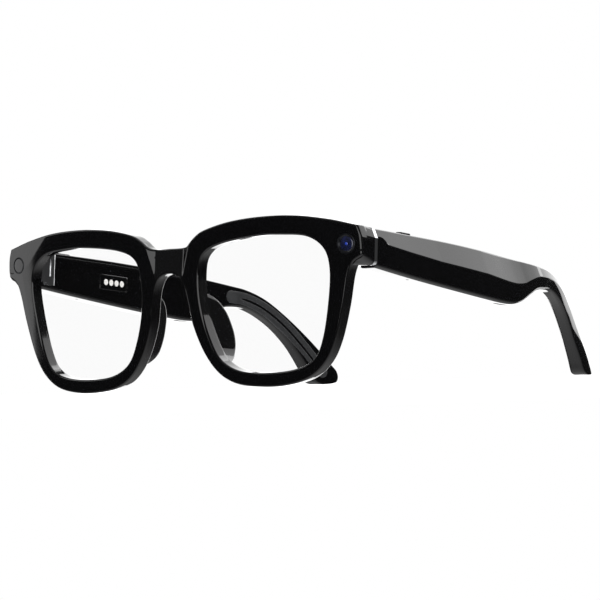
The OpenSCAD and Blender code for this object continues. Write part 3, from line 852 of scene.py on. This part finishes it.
    def build_nose_pads(self) -> None:
        """Moulds the nose pads: fins that grow out of the rims and thin towards their rear edge.

        A fin's side is a ruled surface from its root line to its rear line. Below 27 mm it bends
        outwards with the square of the distance, as the rims do.
        """
        rows, columns, bend_z = 90, 30, -27
        rear = evenly(smooth_curve([[3.2, -9.6], [8.2, -11.6], [11.6, -15.2], [13.2, -19.5], [13.8, -23.5],
                                    [13.2, -27.6], [11.0, -31.2], [7.6, -33.6], [3.6, -35.0]]), rows)
        root = np.stack([np.linspace(0.8, 4.2, rows), np.linspace(-9.3, -34.6, rows)], axis=1)
        share = np.sin(np.linspace(0, math.pi / 2, columns))
        grid = root[:, None] * (1 - share[None, :, None]) + rear[:, None] * share[None, :, None]
        thick = 1.0 - 0.35 * share**2
        edge = np.sqrt(np.clip(1 - smooth_step(share, 0.9, 1.0) ** 2, 0.001, 1))
        ends = np.sqrt(np.clip(1 - np.abs(np.linspace(-1, 1, rows)) ** 14, 0.001, 1))
        half = np.maximum(thick * edge * ends[:, None], 0.02)
        bend = self.pad_bend * np.clip(bend_z - grid[..., 1], 0, None) ** 2
        basis = np.array(Matrix.Rotation(self.pad_turn, 3, "Z") @ Matrix.Rotation(self.pad_lean, 3, "Y"))
        pivot = np.array(self.pad_root)
        faces = []
        for sign in (-1, 1):
            local = np.stack([1.0 + bend + sign * half, grid[..., 0], grid[..., 1] - pivot[2]], axis=-1)
            faces.append(local @ basis.T + pivot)
        loop = np.concatenate([faces[0], faces[1][:, ::-1]], axis=1)
        for side in Side:
            piece = Shell().tube(loop).build(f"nose_pad_{side.word}_fin", side, 50)
            self.shop.paint(piece, "glossy_black", "front", f"nose_pad_{side.word}")

    def build_brow_cover(self) -> None:
        """Lays the rounded cover strip over the flexible circuit's channel, along the rear of the brow."""
        route = smooth_curve([[0, 0.2], [6, 0.9], [11, 4], [18, 7], [35, 8.9], [50, 8.5], [58, 6.9],
                              [62.9, 5.2]])
        half = evenly(route, 130)
        line = np.vstack([half[:0:-1] * [-1, 1], half])
        normal = self.inward(line, closed=False)
        section = rounded_box_section(6, 4)
        width, r = self.strip_half, self.strip_r
        low, high = self.rim_depth - 0.5, self.rim_depth + 0.12
        across = -width + r + section[:, 0] * 2 * (width - r) + section[:, 2] * r
        depth = high - r - section[:, 1] * (high - low - 2 * r) - section[:, 3] * r
        flat = line[:, None] + normal[:, None] * across[None, :, None]
        rows = FRONT.lay(flat[..., 0], flat[..., 1], np.broadcast_to(depth, flat.shape[:2]))
        self.shop.paint(Shell().tube(rows).build("brow_cover_strip"), "glossy_black", "front", "brow_cover")

    def build(self) -> None:
        """Builds all of the front."""
        self.build_rims()
        self.build_lenses()
        self.build_nose_pads()
        self.build_brow_cover()


# ---- camera and light ----
@dataclass
class Optics:
    """The camera at the left end of the brow and the capture light at the right end."""

    shop: Paintshop
    front: Front
    pupil_r: float = 0.45
    camera_lip: float = 0.95
    light_lip: float = 0.42
    glass_clear: float = 0.02

    def turned(self, name: str, side: Side, profile: Sequence[Sequence[float]], slot: str,
               *nodes: str) -> bpy.types.Object:
        """Turns a profile on a seat's axis and finishes it.

        Args:
            name: the piece's name.
            side: the seat's side.
            profile: rows of (radius, height above the face).
            slot: the record's material slot.
            nodes: the CAD nodes that the piece stands for.

        Returns:
            The piece.
        """
        rows = lathe(np.asarray(profile, float), self.front.seat_disc(side), 72)
        return self.shop.paint(Shell().grid(rows, round_v=True).build(name), slot, "front", *nodes)

    @staticmethod
    def dome(radius: float, rim: float, crown: float, count: int = 12) -> list[list[float]]:
        """A shallow dome's profile from its rim to the axis: height = rim + crown (1 - (r / radius)^2).

        Args:
            radius: the dome's radius.
            rim: its height at the rim.
            crown: how much higher its middle is.
            count: points in the profile.

        Returns:
            Rows of (radius, height).
        """
        r = np.linspace(radius, 0, count)
        return np.stack([r, rim + crown * (1 - (r / radius) ** 2)], axis=1).tolist()

    def build_camera(self) -> None:
        """Builds the camera: a stepped ring, the cover glass, the coated inner lens and the barrel."""
        r = self.front.camera_r
        lip = r - self.camera_lip
        self.turned("camera_ring", Side.LEFT,
                    [[lip, -0.55], [r, -0.55], [r, 0.0], [r - 0.05, 0.08], [r - 0.2, 0.13],
                     [r - 0.4, 0.13], [r - 0.5, 0.1], [r - 0.82, -0.3], [lip, -0.34], [lip, -0.55]],
                    "black_metal", "camera_bezel")
        w = lip - self.glass_clear
        self.turned("camera_cover_glass", Side.LEFT,
                    [[0, -0.62], [w, -0.62], [w, -0.36]] + self.dome(w - 0.05, -0.33, 0.1),
                    "camera_glass", "camera_window")
        p = self.pupil_r
        pupil = self.turned("camera_pupil", Side.LEFT,
                            [[0, -0.4], [p, -0.4], [p, -0.24]] + self.dome(p, -0.23, 0.06, 8), "camera_glass")
        pupil.data.materials[0] = PUPIL.make()
        self.turned("lens_barrel", Side.LEFT,
                    [[0, -3.3], [2.1, -3.3], [2.1, -0.7], [1.9, -0.7], [1.6, -0.95], [1.6, -1.15],
                     [1.3, -1.35], [1.3, -1.5]] + self.dome(1.25, -1.5, 0.35, 8),
                    "black_metal", "camera_barrel")

    def build_light(self) -> None:
        """Builds the capture light: a plain ring round a smoked cover."""
        r = self.front.light_r
        lip = r - self.light_lip
        self.turned("light_ring", Side.RIGHT,
                    [[lip, -0.55], [r, -0.55], [r, 0.02], [r - 0.06, 0.08], [r - 0.3, 0.08],
                     [lip, 0.0], [lip, -0.55]], "black_metal", "led_bezel")
        w = lip - self.glass_clear / 2
        self.turned("light_cover", Side.RIGHT,
                    [[0, -0.6], [w, -0.6], [w, -0.05]] + self.dome(w - 0.06, 0.0, 0.05), "dark_glass",
                    "led_window")

    def build(self) -> None:
        """Builds both modules."""
        self.build_camera()
        self.build_light()


# ---- the temples ----
@dataclass
class Temple:
    """One temple: its shell, inner cover, ear grip, key and sound slot."""

    shop: Paintshop
    side: Side
    low_r: float = 1.2
    top_r: float = 0.35
    bulge: float = 0.4
    foot_flare: float = 1.1
    cover_start: float = 16.6
    cover_end: float = 93.0
    cover_t: float = 1.0
    cover_margin: float = 0.95
    cover_gap: float = 0.08
    grip_half: float = 2.4
    grip_t: float = 0.55
    key_x: float = 68.2
    key_w: float = 2.6
    key_clear: float = 0.15
    slot_depth: float = 3.6
    speaker_y: float = 84.0
    mic_y: float = 33.0

    @property
    def body(self) -> str:
        """The CAD body that this temple rides on."""
        return f"temple_{self.side.word}"

    @staticmethod
    def top_at(y: float) -> float:
        """Height of the upper edge at y."""
        return float(np.interp(y, TOP_EDGE[:, 0], TOP_EDGE[:, 1]))

    def rails(self) -> tuple[Array, Array]:
        """Matched points of the upper and the lower edge, from the front to the ear tip.

        Returns:
            The upper and the lower points, as y and z.
        """
        top_y = np.concatenate([
            [12.8, 12.86, 13.0, 13.2], np.arange(13.5, 20, 0.35), np.arange(20, 90, 1.0),
            np.arange(90, 148.2, 0.6)])
        low_y = np.interp(top_y, [12.8, 84, 92, 99, 106, 112, 120, 128, 136, 143, 148.2],
                          [12.8, 84, 92.5, 99, 105.5, 110.5, 116.8, 123.2, 129.6, 135.2, 139.6])
        top = np.stack([top_y, np.interp(top_y, TOP_EDGE[:, 0], TOP_EDGE[:, 1])], axis=1)
        low = np.stack([low_y, np.interp(low_y, LOW_EDGE[:, 0], LOW_EDGE[:, 1])], axis=1)
        tip_top = smooth_curve([[148.2, -19.2], [150.3, -21.0], [151.2, -22.9], [150.5, -24.6],
                                [148.1, -25.5]], 8)
        tip_low = smooth_curve([[139.6, -23.75], [140.3, -24.7], [141.3, -25.55], [142.8, -26.0],
                                [144.4, -26.05]], 8)
        return np.vstack([top, tip_top[1:]]), np.vstack([low, tip_low[1:]])

    @staticmethod
    def crease_share(y: Array) -> Array:
        """Where the slanted upper facet starts, as a share of the way up the outer face.

        It sits high at the joint, scoops down within 5 mm, falls slowly to the bend and climbs
        round the ear hook.

        Args:
            y: places along the upper edge.

        Returns:
            The share at each place.
        """
        return np.interp(y, *np.array([
            [12.8, 0.785], [14.2, 0.785], [15.4, 0.765], [16.6, 0.71], [17.6, 0.645], [18.4, 0.603],
            [22, 0.585], [30, 0.547], [46, 0.49], [71, 0.474], [88, 0.40], [93, 0.39], [99, 0.45],
            [105, 0.50], [112, 0.58], [124, 0.70], [138, 0.67], [144, 0.58], [150, 0.46]]).T)

    @staticmethod
    def facet_slope(y: Array) -> Array:
        """Slope of the upper facet: 24 degrees along the arm, steeper round the hook."""
        return np.interp(y, [12.8, 20, 90, 102, 114, 150], [0.45, 0.43, 0.42, 0.42, 0.46, 0.55])

    @staticmethod
    def plane_share(y: Array, share: Array) -> Array:
        """Where the facet's plane would meet the face; beside the scoop it runs on below the crease."""
        return np.where(y < 22, np.interp(y, [12.8, 18.4, 22], [0.625, 0.603, 0.585]), share)

    @staticmethod
    def section() -> Array:
        """The shell's section, with the outer face split in two at the crease.

        Returns:
            Columns as in rounded_box_section; on the outer face the height weight runs from 0 to
            1 below the crease and from 1 to 2 above it.
        """
        flat, arc = 10, 5
        box = rounded_box_section(flat, arc)
        low = np.concatenate([[0.03], np.linspace(0, 1, 12)[1:-1], [0.96, 1.0]])
        high = np.concatenate([[1.04], 1 + np.linspace(0, 1, 12)[1:-1], [1.97]])
        face = np.concatenate([low, high])
        outer = np.stack([face, np.zeros_like(face), np.zeros_like(face), -np.ones_like(face)], axis=1)
        rest = box[flat - 1:].copy()
        rest[:, 0] *= 2
        return np.vstack([outer, rest])

    def shell_rows(self) -> Array:
        """The shell's sections: rounded boxes between the rails, with the outer face shaped.

        Above the crease the face falls back by slope times distance. Below it a bulge draws the
        lower edge in with a power of the distance, and the foot of the hook flares outwards.

        Returns:
            The sections, shape (u, v, 3).
        """
        top, low = self.rails()
        section = self.section()[None]
        y = top[:, :1]
        span = top - low
        height = np.linalg.norm(span, axis=1, keepdims=True)
        thick = outer_x(y) - inner_x(y)
        low_r = np.minimum(self.low_r, 0.32 * height)
        top_r = np.minimum(self.top_r, 0.2 * height)
        straight = height - low_r - top_r
        share = self.crease_share(y)
        plane = self.plane_share(y, share)
        w = section[..., 0]
        r = np.where(w > 1, top_r, low_r)
        climb = np.where(w <= 1, w * share, share + (w - 1) * (1 - share))
        along = low_r + climb * straight + section[..., 2] * r
        deep = r + section[..., 1] * (thick - 2 * r) + section[..., 3] * r
        crease_at, plane_at = low_r + share * straight, low_r + plane * straight
        scooped = np.clip(along - plane_at, 0, None) * smooth_step(w, 1.0, 1.04)
        facet = self.facet_slope(y) * np.where(share > plane + 0.01, scooped, soft_ramp(along - crease_at, 0.12))
        bulge = self.bulge * np.clip(1 - along / crease_at, 0, 1) ** 2.5
        flare = self.foot_flare * smooth_step(low[:, :1], 130, 141)
        deep = deep + (facet + bulge - flare) * (1 - np.clip(deep / thick, 0, 1))
        # the first sections draw in a little, as a rounded end
        pull = 0.25 * np.interp(y, [12.8, 12.86, 13.0, 13.2], [0.22, 0.12, 0.04, 0.0])
        along = along + (height / 2 - along) * pull
        deep = deep + (thick / 2 - deep) * pull
        flat = low[:, None] + (span / height)[:, None] * along[..., None]
        return np.stack([outer_x(flat[..., 0]) - deep, flat[..., 0], flat[..., 1]], axis=-1)

    def plate(self, start: float, end: float, margin: float, depth_from: float, depth_to: float,
              r: float) -> Array:
        """Sections of a bar that follows the inner face, with quarter-round ends.

        Args:
            start: where it starts along Y.
            end: where it ends.
            margin: distance from the temple's upper and lower edges.
            depth_from: its inner side, measured outwards from the inner face.
            depth_to: its outer side.
            r: radius of its edges.

        Returns:
            The sections, shape (u, v, 3).
        """
        y = np.concatenate([start + r * (1 - np.cos(np.linspace(0, math.pi / 2, 5))),
                            np.linspace(start + r, end - r, 90)[1:-1],
                            end - r * (1 - np.cos(np.linspace(math.pi / 2, 0, 5)))])
        pull = r - np.sqrt(np.clip(r**2 - np.clip(r - np.minimum(y - start, end - y), 0, r) ** 2, 0, None))
        top = np.interp(y, TOP_EDGE[:, 0], TOP_EDGE[:, 1]) - margin - pull
        low = np.interp(y, LOW_EDGE[:, 0], LOW_EDGE[:, 1]) + margin + pull
        s = rounded_box_section(14, 4)
        z = low[:, None] + r + s[:, 0] * (top - low - 2 * r)[:, None] + s[:, 2] * r
        near = depth_from + pull
        deep = near[:, None] + r + (1 - s[:, 1]) * (depth_to - near - 2 * r)[:, None] - s[:, 3] * r
        return np.stack([inner_x(y)[:, None] + deep, np.broadcast_to(y[:, None], z.shape), z], axis=-1)

    def prism(self, y: float, z0: float, z1: float, length: float, width: float,
              x: Optional[float] = None, rise: float = 0.0, r: float = 0.0) -> Shell:
        """A stadium-shaped solid along the temple, standing from z0 to z1.

        Args:
            y: its middle along Y.
            z0: its foot.
            z1: its top.
            length: length over its round ends.
            width: width.
            x: its middle across; the keys' line when left out.
            rise: how much the top crowns in the middle.
            r: radius of the top edge.

        Returns:
            The shell, ready to build.
        """
        middle_x = self.key_x - outer_x(30) + outer_x(y) if x is None else x
        turn = np.linspace(0, 2 * math.pi, 72, endpoint=False)
        ends = np.where(np.sin(turn) >= 0, 1, -1) * (length - width) / 2
        walk = [(0.0, z0)] + [(r * (1 - math.cos(a)), z1 - r + r * math.sin(a))
                              for a in np.radians(np.linspace(0, 90, 6 if r else 1))]
        if rise:
            walk += [(r + (width / 2 - r) * t, z1 + rise * t * (2 - t)) for t in (0.25, 0.5, 0.75)]
        rows = [np.stack([middle_x + (width / 2 - i) * np.cos(turn),
                          y + ends + (width / 2 - i) * np.sin(turn),
                          np.full_like(turn, z)], axis=1) for i, z in walk]
        return Shell().tube(np.stack(rows))

    def build_shell(self) -> None:
        """Moulds the shell and cuts the cover's seat, the key slot, the sound slot and the microphone hole."""
        shell = Shell().tube(self.shell_rows()).build(f"temple_arm_{self.side.word}", self.side, 50)
        gap = self.cover_gap
        seat = Shell().tube(self.plate(self.cover_start - gap, self.cover_end + gap,
                                       self.cover_margin - gap, -1.5, self.cover_t, 0.15))
        y, length, _ = self.key()
        z = self.top_at(y)
        slot = self.prism(y, z - 3.2, z + 3, length + 2 * self.key_clear, self.key_w + 2 * self.key_clear)
        sound = self.prism(self.speaker_y, -12, -7.4, 8, 2, outer_x(self.speaker_y) - self.slot_depth)
        mic = self.prism(self.mic_y, -12, -4.6, 1.0, 0.999, outer_x(self.mic_y) - self.slot_depth)
        carve(shell, [solid.build("cutter", self.side) for solid in (seat, slot, sound, mic)], 40)
        self.shop.paint(shell, "glossy_black", self.body, f"temple_shell_{self.side.word}")

    def build_cover(self) -> None:
        """Moulds the inner cover plate, which closes the electronics' bay."""
        rows = self.plate(self.cover_start, self.cover_end, self.cover_margin, 0.0, self.cover_t - 0.05, 0.14)
        cover = Shell().tube(rows).build(f"inner_cover_{self.side.word}", self.side, 50)
        self.shop.paint(cover, "glossy_black", self.body, f"temple_cover_{self.side.word}")

    def build_grip(self) -> None:
        """Moulds the ear grip: a soft inlay with one groove along it and rounded ends.

        Its crown follows the 8th root of 1 - |across|^8, and the groove is a bell curve in it.
        """
        width, end_rows, run = self.grip_half, 8, 150
        line = evenly(HOOK_LINE, run)
        step = unit_rows(np.gradient(line, axis=0))
        normal = np.stack([-step[:, 1], step[:, 0]], axis=1)
        reach = np.linspace(-1, 0, end_rows + 1)[:-1]
        line = np.vstack([line[0] + step[0] * reach[:, None] * width, line,
                          line[-1] - step[-1] * reach[::-1, None] * width])
        normal = np.vstack([np.repeat(normal[:1], end_rows, axis=0), normal,
                            np.repeat(normal[-1:], end_rows, axis=0)])
        round_end = np.sqrt(np.clip(1 - reach**2, 0.0004, 1))
        half = width * np.concatenate([round_end, np.ones(run), round_end[::-1]])
        across = np.linspace(-1, 1, 41)
        crown = 0.5 - 0.66 * np.sqrt(np.clip(1 - np.abs(across) ** 8, 0, 1))
        groove_on = np.interp(np.arange(len(line)), [20, 30, len(line) - 30, len(line) - 18], [0, 1, 1, 0])
        groove = 0.45 * np.exp(-(((across[None] * half[:, None] + 0.2) / 0.38) ** 2)) * groove_on[:, None]
        deep = np.minimum(crown[None] + groove, 0.5)
        flat = line[:, None] + normal[:, None] * (across[None, :, None] * half[:, None, None])
        x = inner_x(flat[..., 0])
        face = np.stack([x + deep, flat[..., 0], flat[..., 1]], axis=-1)
        back = np.stack([x + self.grip_t, flat[..., 0], flat[..., 1]], axis=-1)
        rows = np.concatenate([face, back[:, ::-1]], axis=1)
        piece = Shell().tube(rows).build(f"ear_inlay_{self.side.word}", self.side, 60)
        self.shop.paint(piece, "soft_black", self.body, f"ear_grip_{self.side.word}")

    def key(self) -> tuple[float, float, float]:
        """Middle, length and rise of this temple's key."""
        return (31.0, 6.0, 0.8) if self.side is Side.LEFT else (24.6, 7.0, 0.7)

    def build_key(self) -> None:
        """Moulds the key's cap, with a rounded and slightly crowned top."""
        y, length, rise = self.key()
        crown = 0.1
        z = self.top_at(y)
        name = "capture_button" if self.side is Side.LEFT else "power_key"
        cap = self.prism(y, z - 2.4, z + rise - crown, length, self.key_w, rise=crown, r=0.4)
        self.shop.paint(cap.build(f"{name}_cap", self.side, 40), "glossy_black", name, name)

    def build_sound_slot(self) -> None:
        """Presses the sound slot's cloth into a shallow basket with rows of real dimples.

        The dimples are cos^2 across times cos^2 along, at one pitch.
        """
        x0, y0 = outer_x(self.speaker_y) - self.slot_depth, self.speaker_y
        pitch, dimple_depth = 0.42, 0.22
        u, v = np.meshgrid(np.linspace(-0.93, 0.93, 41), np.linspace(-3.9, 3.9, 161), indexing="ij")
        dimple = np.cos(math.pi * u / pitch) ** 2 * np.cos(math.pi * v / pitch) ** 2
        under = np.stack([x0 + u, y0 + v, -7.6 + dimple_depth * dimple], axis=-1)
        over = np.stack([x0 + u, y0 + v, np.full_like(u, -7.15)], axis=-1)
        shell = Shell().tube(np.concatenate([under, over[:, ::-1]], axis=1))
        self.shop.paint(shell.build(f"sound_cloth_{self.side.word}", self.side, 60), "mesh_grey", self.body,
                        f"speaker_mesh_{self.side.word}")

    def build(self) -> None:
        """Builds all of the temple."""
        self.build_shell()
        self.build_cover()
        self.build_grip()
        self.build_key()
        self.build_sound_slot()


@dataclass
class ChargePort:
    """The charging base on the right temple: a flat bed with four domed contacts."""

    shop: Paintshop
    contact_y: float = 46.8
    contact_z: float = 0.85
    pitch: float = 2.59
    contact_r: float = 1.0
    bed_length: float = 13.4
    bed_height: float = 5.0
    bed_depth: float = 1.6
    bed_edge_r: float = 0.2
    proud: float = 0.25

    def build_bed(self, face: float) -> None:
        """Moulds the bed: a rounded bar whose ends draw in by the edge's radius.

        Args:
            face: distance of its face from the middle.
        """
        r = self.bed_edge_r
        y = self.contact_y + self.bed_length / 2 * np.array([-1, -0.985, -0.97, -0.5, 0, 0.5, 0.97, 0.985, 1])
        pull = r * np.array([1, 0.3, 0, 0, 0, 0, 0, 0.3, 1])[:, None]
        s = rounded_box_section(8, 4)[None]
        half = self.bed_height / 2 - pull
        z = self.contact_z + (2 * s[..., 0] - 1) * (half - r) + s[..., 2] * r
        deep = pull + r + (1 - s[..., 1]) * (self.bed_depth - 2 * r) - s[..., 3] * r
        rows = np.stack([face + deep, np.broadcast_to(y[:, None], z.shape), z], axis=-1)
        self.shop.paint(Shell().tube(rows).build("charge_bed", Side.RIGHT, 50), "glossy_black", "temple_right",
                        "charge_base")

    def build_contacts(self, face: float) -> None:
        """Turns the four contacts, each on an axis square to the bed.

        Args:
            face: distance of the bed's face from the middle.
        """
        shell = Shell()
        r = self.contact_r
        profile = np.array([[0, -1.2], [r, -1.2], [r, 0.02], [r - 0.04, 0.07], [r - 0.15, 0.1],
                            [0.6, 0.12], [0, 0.13]])
        for i in (-1.5, -0.5, 0.5, 1.5):
            middle = np.array([face, self.contact_y + i * self.pitch, self.contact_z])

            def seat(p: Array, m: Array = middle) -> Array:
                """Turns +Z towards the head and moves to the contact's middle."""
                return np.stack([-p[..., 2], p[..., 0], p[..., 1]], axis=-1) + m

            shell.grid(lathe(profile, seat, 40), round_v=True)
        self.shop.paint(shell.build("contact_pads", Side.RIGHT, 50), "contact_metal", "temple_right",
                        "charge_contacts")

    def build(self) -> None:
        """Builds the bed and the contacts."""
        face = float(inner_x(self.contact_y - self.bed_length / 2)) - self.proud
        self.build_bed(face)
        self.build_contacts(face)


# ---- studio ----
@dataclass(frozen=True)
class Softbox:
    """A large, far softbox, given by the directions it covers and how bright it looks."""

    name: str
    azimuth: float
    elevation: float
    width: float
    height: float
    level: float
    distance: float = 6.0

    def hang(self) -> None:
        """Hangs the light: a rectangle that faces the origin, out of the camera's own sight.

        Its power is level * pi * area, which makes its face look level bright.
        """
        az, el = math.radians(self.azimuth), math.radians(self.elevation)
        out = Vector((math.cos(az) * math.cos(el), math.sin(az) * math.cos(el), math.sin(el)))
        light = bpy.data.lights.new(self.name, "AREA")
        light.shape = "RECTANGLE"
        light.size = 2 * self.distance * math.tan(math.radians(self.width) / 2)
        light.size_y = 2 * self.distance * math.tan(math.radians(self.height) / 2)
        light.energy = self.level * math.pi * light.size * light.size_y
        lamp = bpy.data.objects.new(self.name, light)
        lamp.location = out * self.distance
        lamp.rotation_euler = out.to_track_quat("Z", "Y").to_euler()
        lamp.visible_camera = False
        bpy.context.scene.collection.objects.link(lamp)


@dataclass
class Studio:
    """The pale floor, the softboxes, the surroundings and the camera."""

    azimuth: float = 39.4076
    elevation: float = -5.65
    roll: float = 1.45
    distance: float = 1098.407
    aim_x: float = 41.4814
    aim_z: float = -10.8103
    lens_share: float = 3536.478 / 600

    def place_camera(self) -> None:
        """Sets the camera: a long lens, low, that sees the front from the wearer's left.

        It is given in the design frame by azimuth, elevation, roll and distance, and goes
        through the same stance as the object.
        """
        a, e, r = (math.radians(q) for q in (self.azimuth, self.elevation, self.roll))
        back = np.array([math.sin(a) * math.cos(e), -math.cos(a) * math.cos(e), math.sin(e)])
        right = np.array([math.cos(a), math.sin(a), 0.0])
        up = np.cross(back, right)
        turned_right = right * math.cos(r) + up * math.sin(r)
        turned_up = up * math.cos(r) - right * math.sin(r)
        eye = back * self.distance + right * self.aim_x + up * self.aim_z
        where = STANCE.place(eye)
        ends = [STANCE.place(eye + v * 1000) - where for v in (turned_right, turned_up, back)]
        camera = bpy.data.cameras.new("view")
        camera.sensor_width = 36.0
        camera.lens = self.lens_share * camera.sensor_width
        camera.clip_start, camera.clip_end = 0.05, 60
        holder = bpy.data.objects.new("view", camera)
        bpy.context.scene.collection.objects.link(holder)
        holder.matrix_world = Matrix([[*(float(end[k]) for end in ends), float(where[k])] for k in range(3)]
                                     + [[0, 0, 0, 1]])
        bpy.context.scene.camera = holder

    def surroundings(self) -> None:
        """White where it is seen directly; dark, with a paler lower half, in reflections."""
        world = bpy.data.worlds.new("studio")
        bpy.context.scene.world = world
        world.use_nodes = True
        tree = world.node_tree
        tree.nodes.clear()
        way = add(tree, "ShaderNodeTexCoord").outputs["Generated"]
        height = add(tree, "ShaderNodeSeparateXYZ", links={0: way}).outputs[2]
        share = add(tree, "ShaderNodeMapRange", {"From Min": -1.0, "From Max": 1.0}, {"Value": height})
        ramp = add(tree, "ShaderNodeValToRGB", links={0: share.outputs[0]})
        stops = ramp.color_ramp.elements
        for place, level in ((0.0, 0.9), (0.14, 0.7), (0.30, 0.12), (0.42, 0.04), (0.52, 0.04), (0.62, 0.12),
                             (0.8, 0.08), (1.0, 0.3)):
            stop = stops[0] if place == 0.0 else stops[-1] if place == 1.0 else stops.new(place)
            stop.color = (level, level, level, 1)
        seen = add(tree, "ShaderNodeLightPath")
        white = add(tree, "ShaderNodeBackground", {"Color": (1, 1, 1, 1), "Strength": 1.0})
        soft = add(tree, "ShaderNodeBackground", {"Strength": 1.0}, {"Color": ramp.outputs[0]})
        pale = add(tree, "ShaderNodeBackground", {"Color": (1, 1, 1, 1), "Strength": 0.9})
        bounce = add(tree, "ShaderNodeMixShader",
                     links={0: seen.outputs["Is Diffuse Ray"], 1: soft.outputs[0], 2: pale.outputs[0]})
        mixed = add(tree, "ShaderNodeMixShader",
                    links={0: seen.outputs["Is Camera Ray"], 1: bounce.outputs[0], 2: white.outputs[0]})
        add(tree, "ShaderNodeOutputWorld", links={"Surface": mixed.outputs[0]})

    def lay_floor(self) -> None:
        """A wide, matt, pale floor that the glossy parts don't mirror."""
        mesh = bpy.data.meshes.new("floor")
        reach = 30.0
        mesh.from_pydata([(-reach, -reach, 0), (reach, -reach, 0), (reach, reach, 0), (-reach, reach, 0)], [],
                         [(0, 1, 2, 3)])
        floor = bpy.data.objects.new("floor", mesh)
        bpy.context.scene.collection.objects.link(floor)
        material = bpy.data.materials.new("matt_pale_floor")
        material.use_nodes = True
        shader = material.node_tree.nodes["Principled BSDF"]
        shader.inputs["Base Color"].default_value = (0.93, 0.93, 0.93, 1)
        shader.inputs["Roughness"].default_value = 1.0
        shader.inputs["Specular IOR Level"].default_value = 0.0
        shader.inputs["Emission Color"].default_value = (1, 1, 1, 1)
        shader.inputs["Emission Strength"].default_value = 0.25
        mesh.materials.append(material)
        floor.visible_glossy = False

    def light(self) -> None:
        """Hangs the softboxes; each one draws the highlights on one family of faces."""
        for box in (
            Softbox("outer_facets", 204, 22, 22, 56, 1.5),
            Softbox("bridge_flanks", 294, 5, 62, 28, 2.2),
            Softbox("upper_facets", 70, 38, 40, 38, 1.8),
            Softbox("overhead", 250, 80, 40, 24, 1.5),
            Softbox("hook_backs", 112, 12, 64, 76, 2.4),
        ):
            box.hang()
        bpy.context.scene.view_settings.view_transform = "Standard"

    def build(self) -> None:
        """Sets all of the studio."""
        self.place_camera()
        self.surroundings()
        self.lay_floor()
        self.light()


def main() -> None:
    """Builds the studio and every sub-assembly."""
    logging.basicConfig(level=logging.INFO, format="%(name)s: %(message)s")
    Studio().build()
    shop = Paintshop()
    shop.repaint_nodes()
    front = Front(shop)
    front.build()
    Optics(shop, front).build()
    for side in Side:
        Temple(shop, side).build()
    ChargePort(shop).build()


if __name__ == "__main__":
    main()
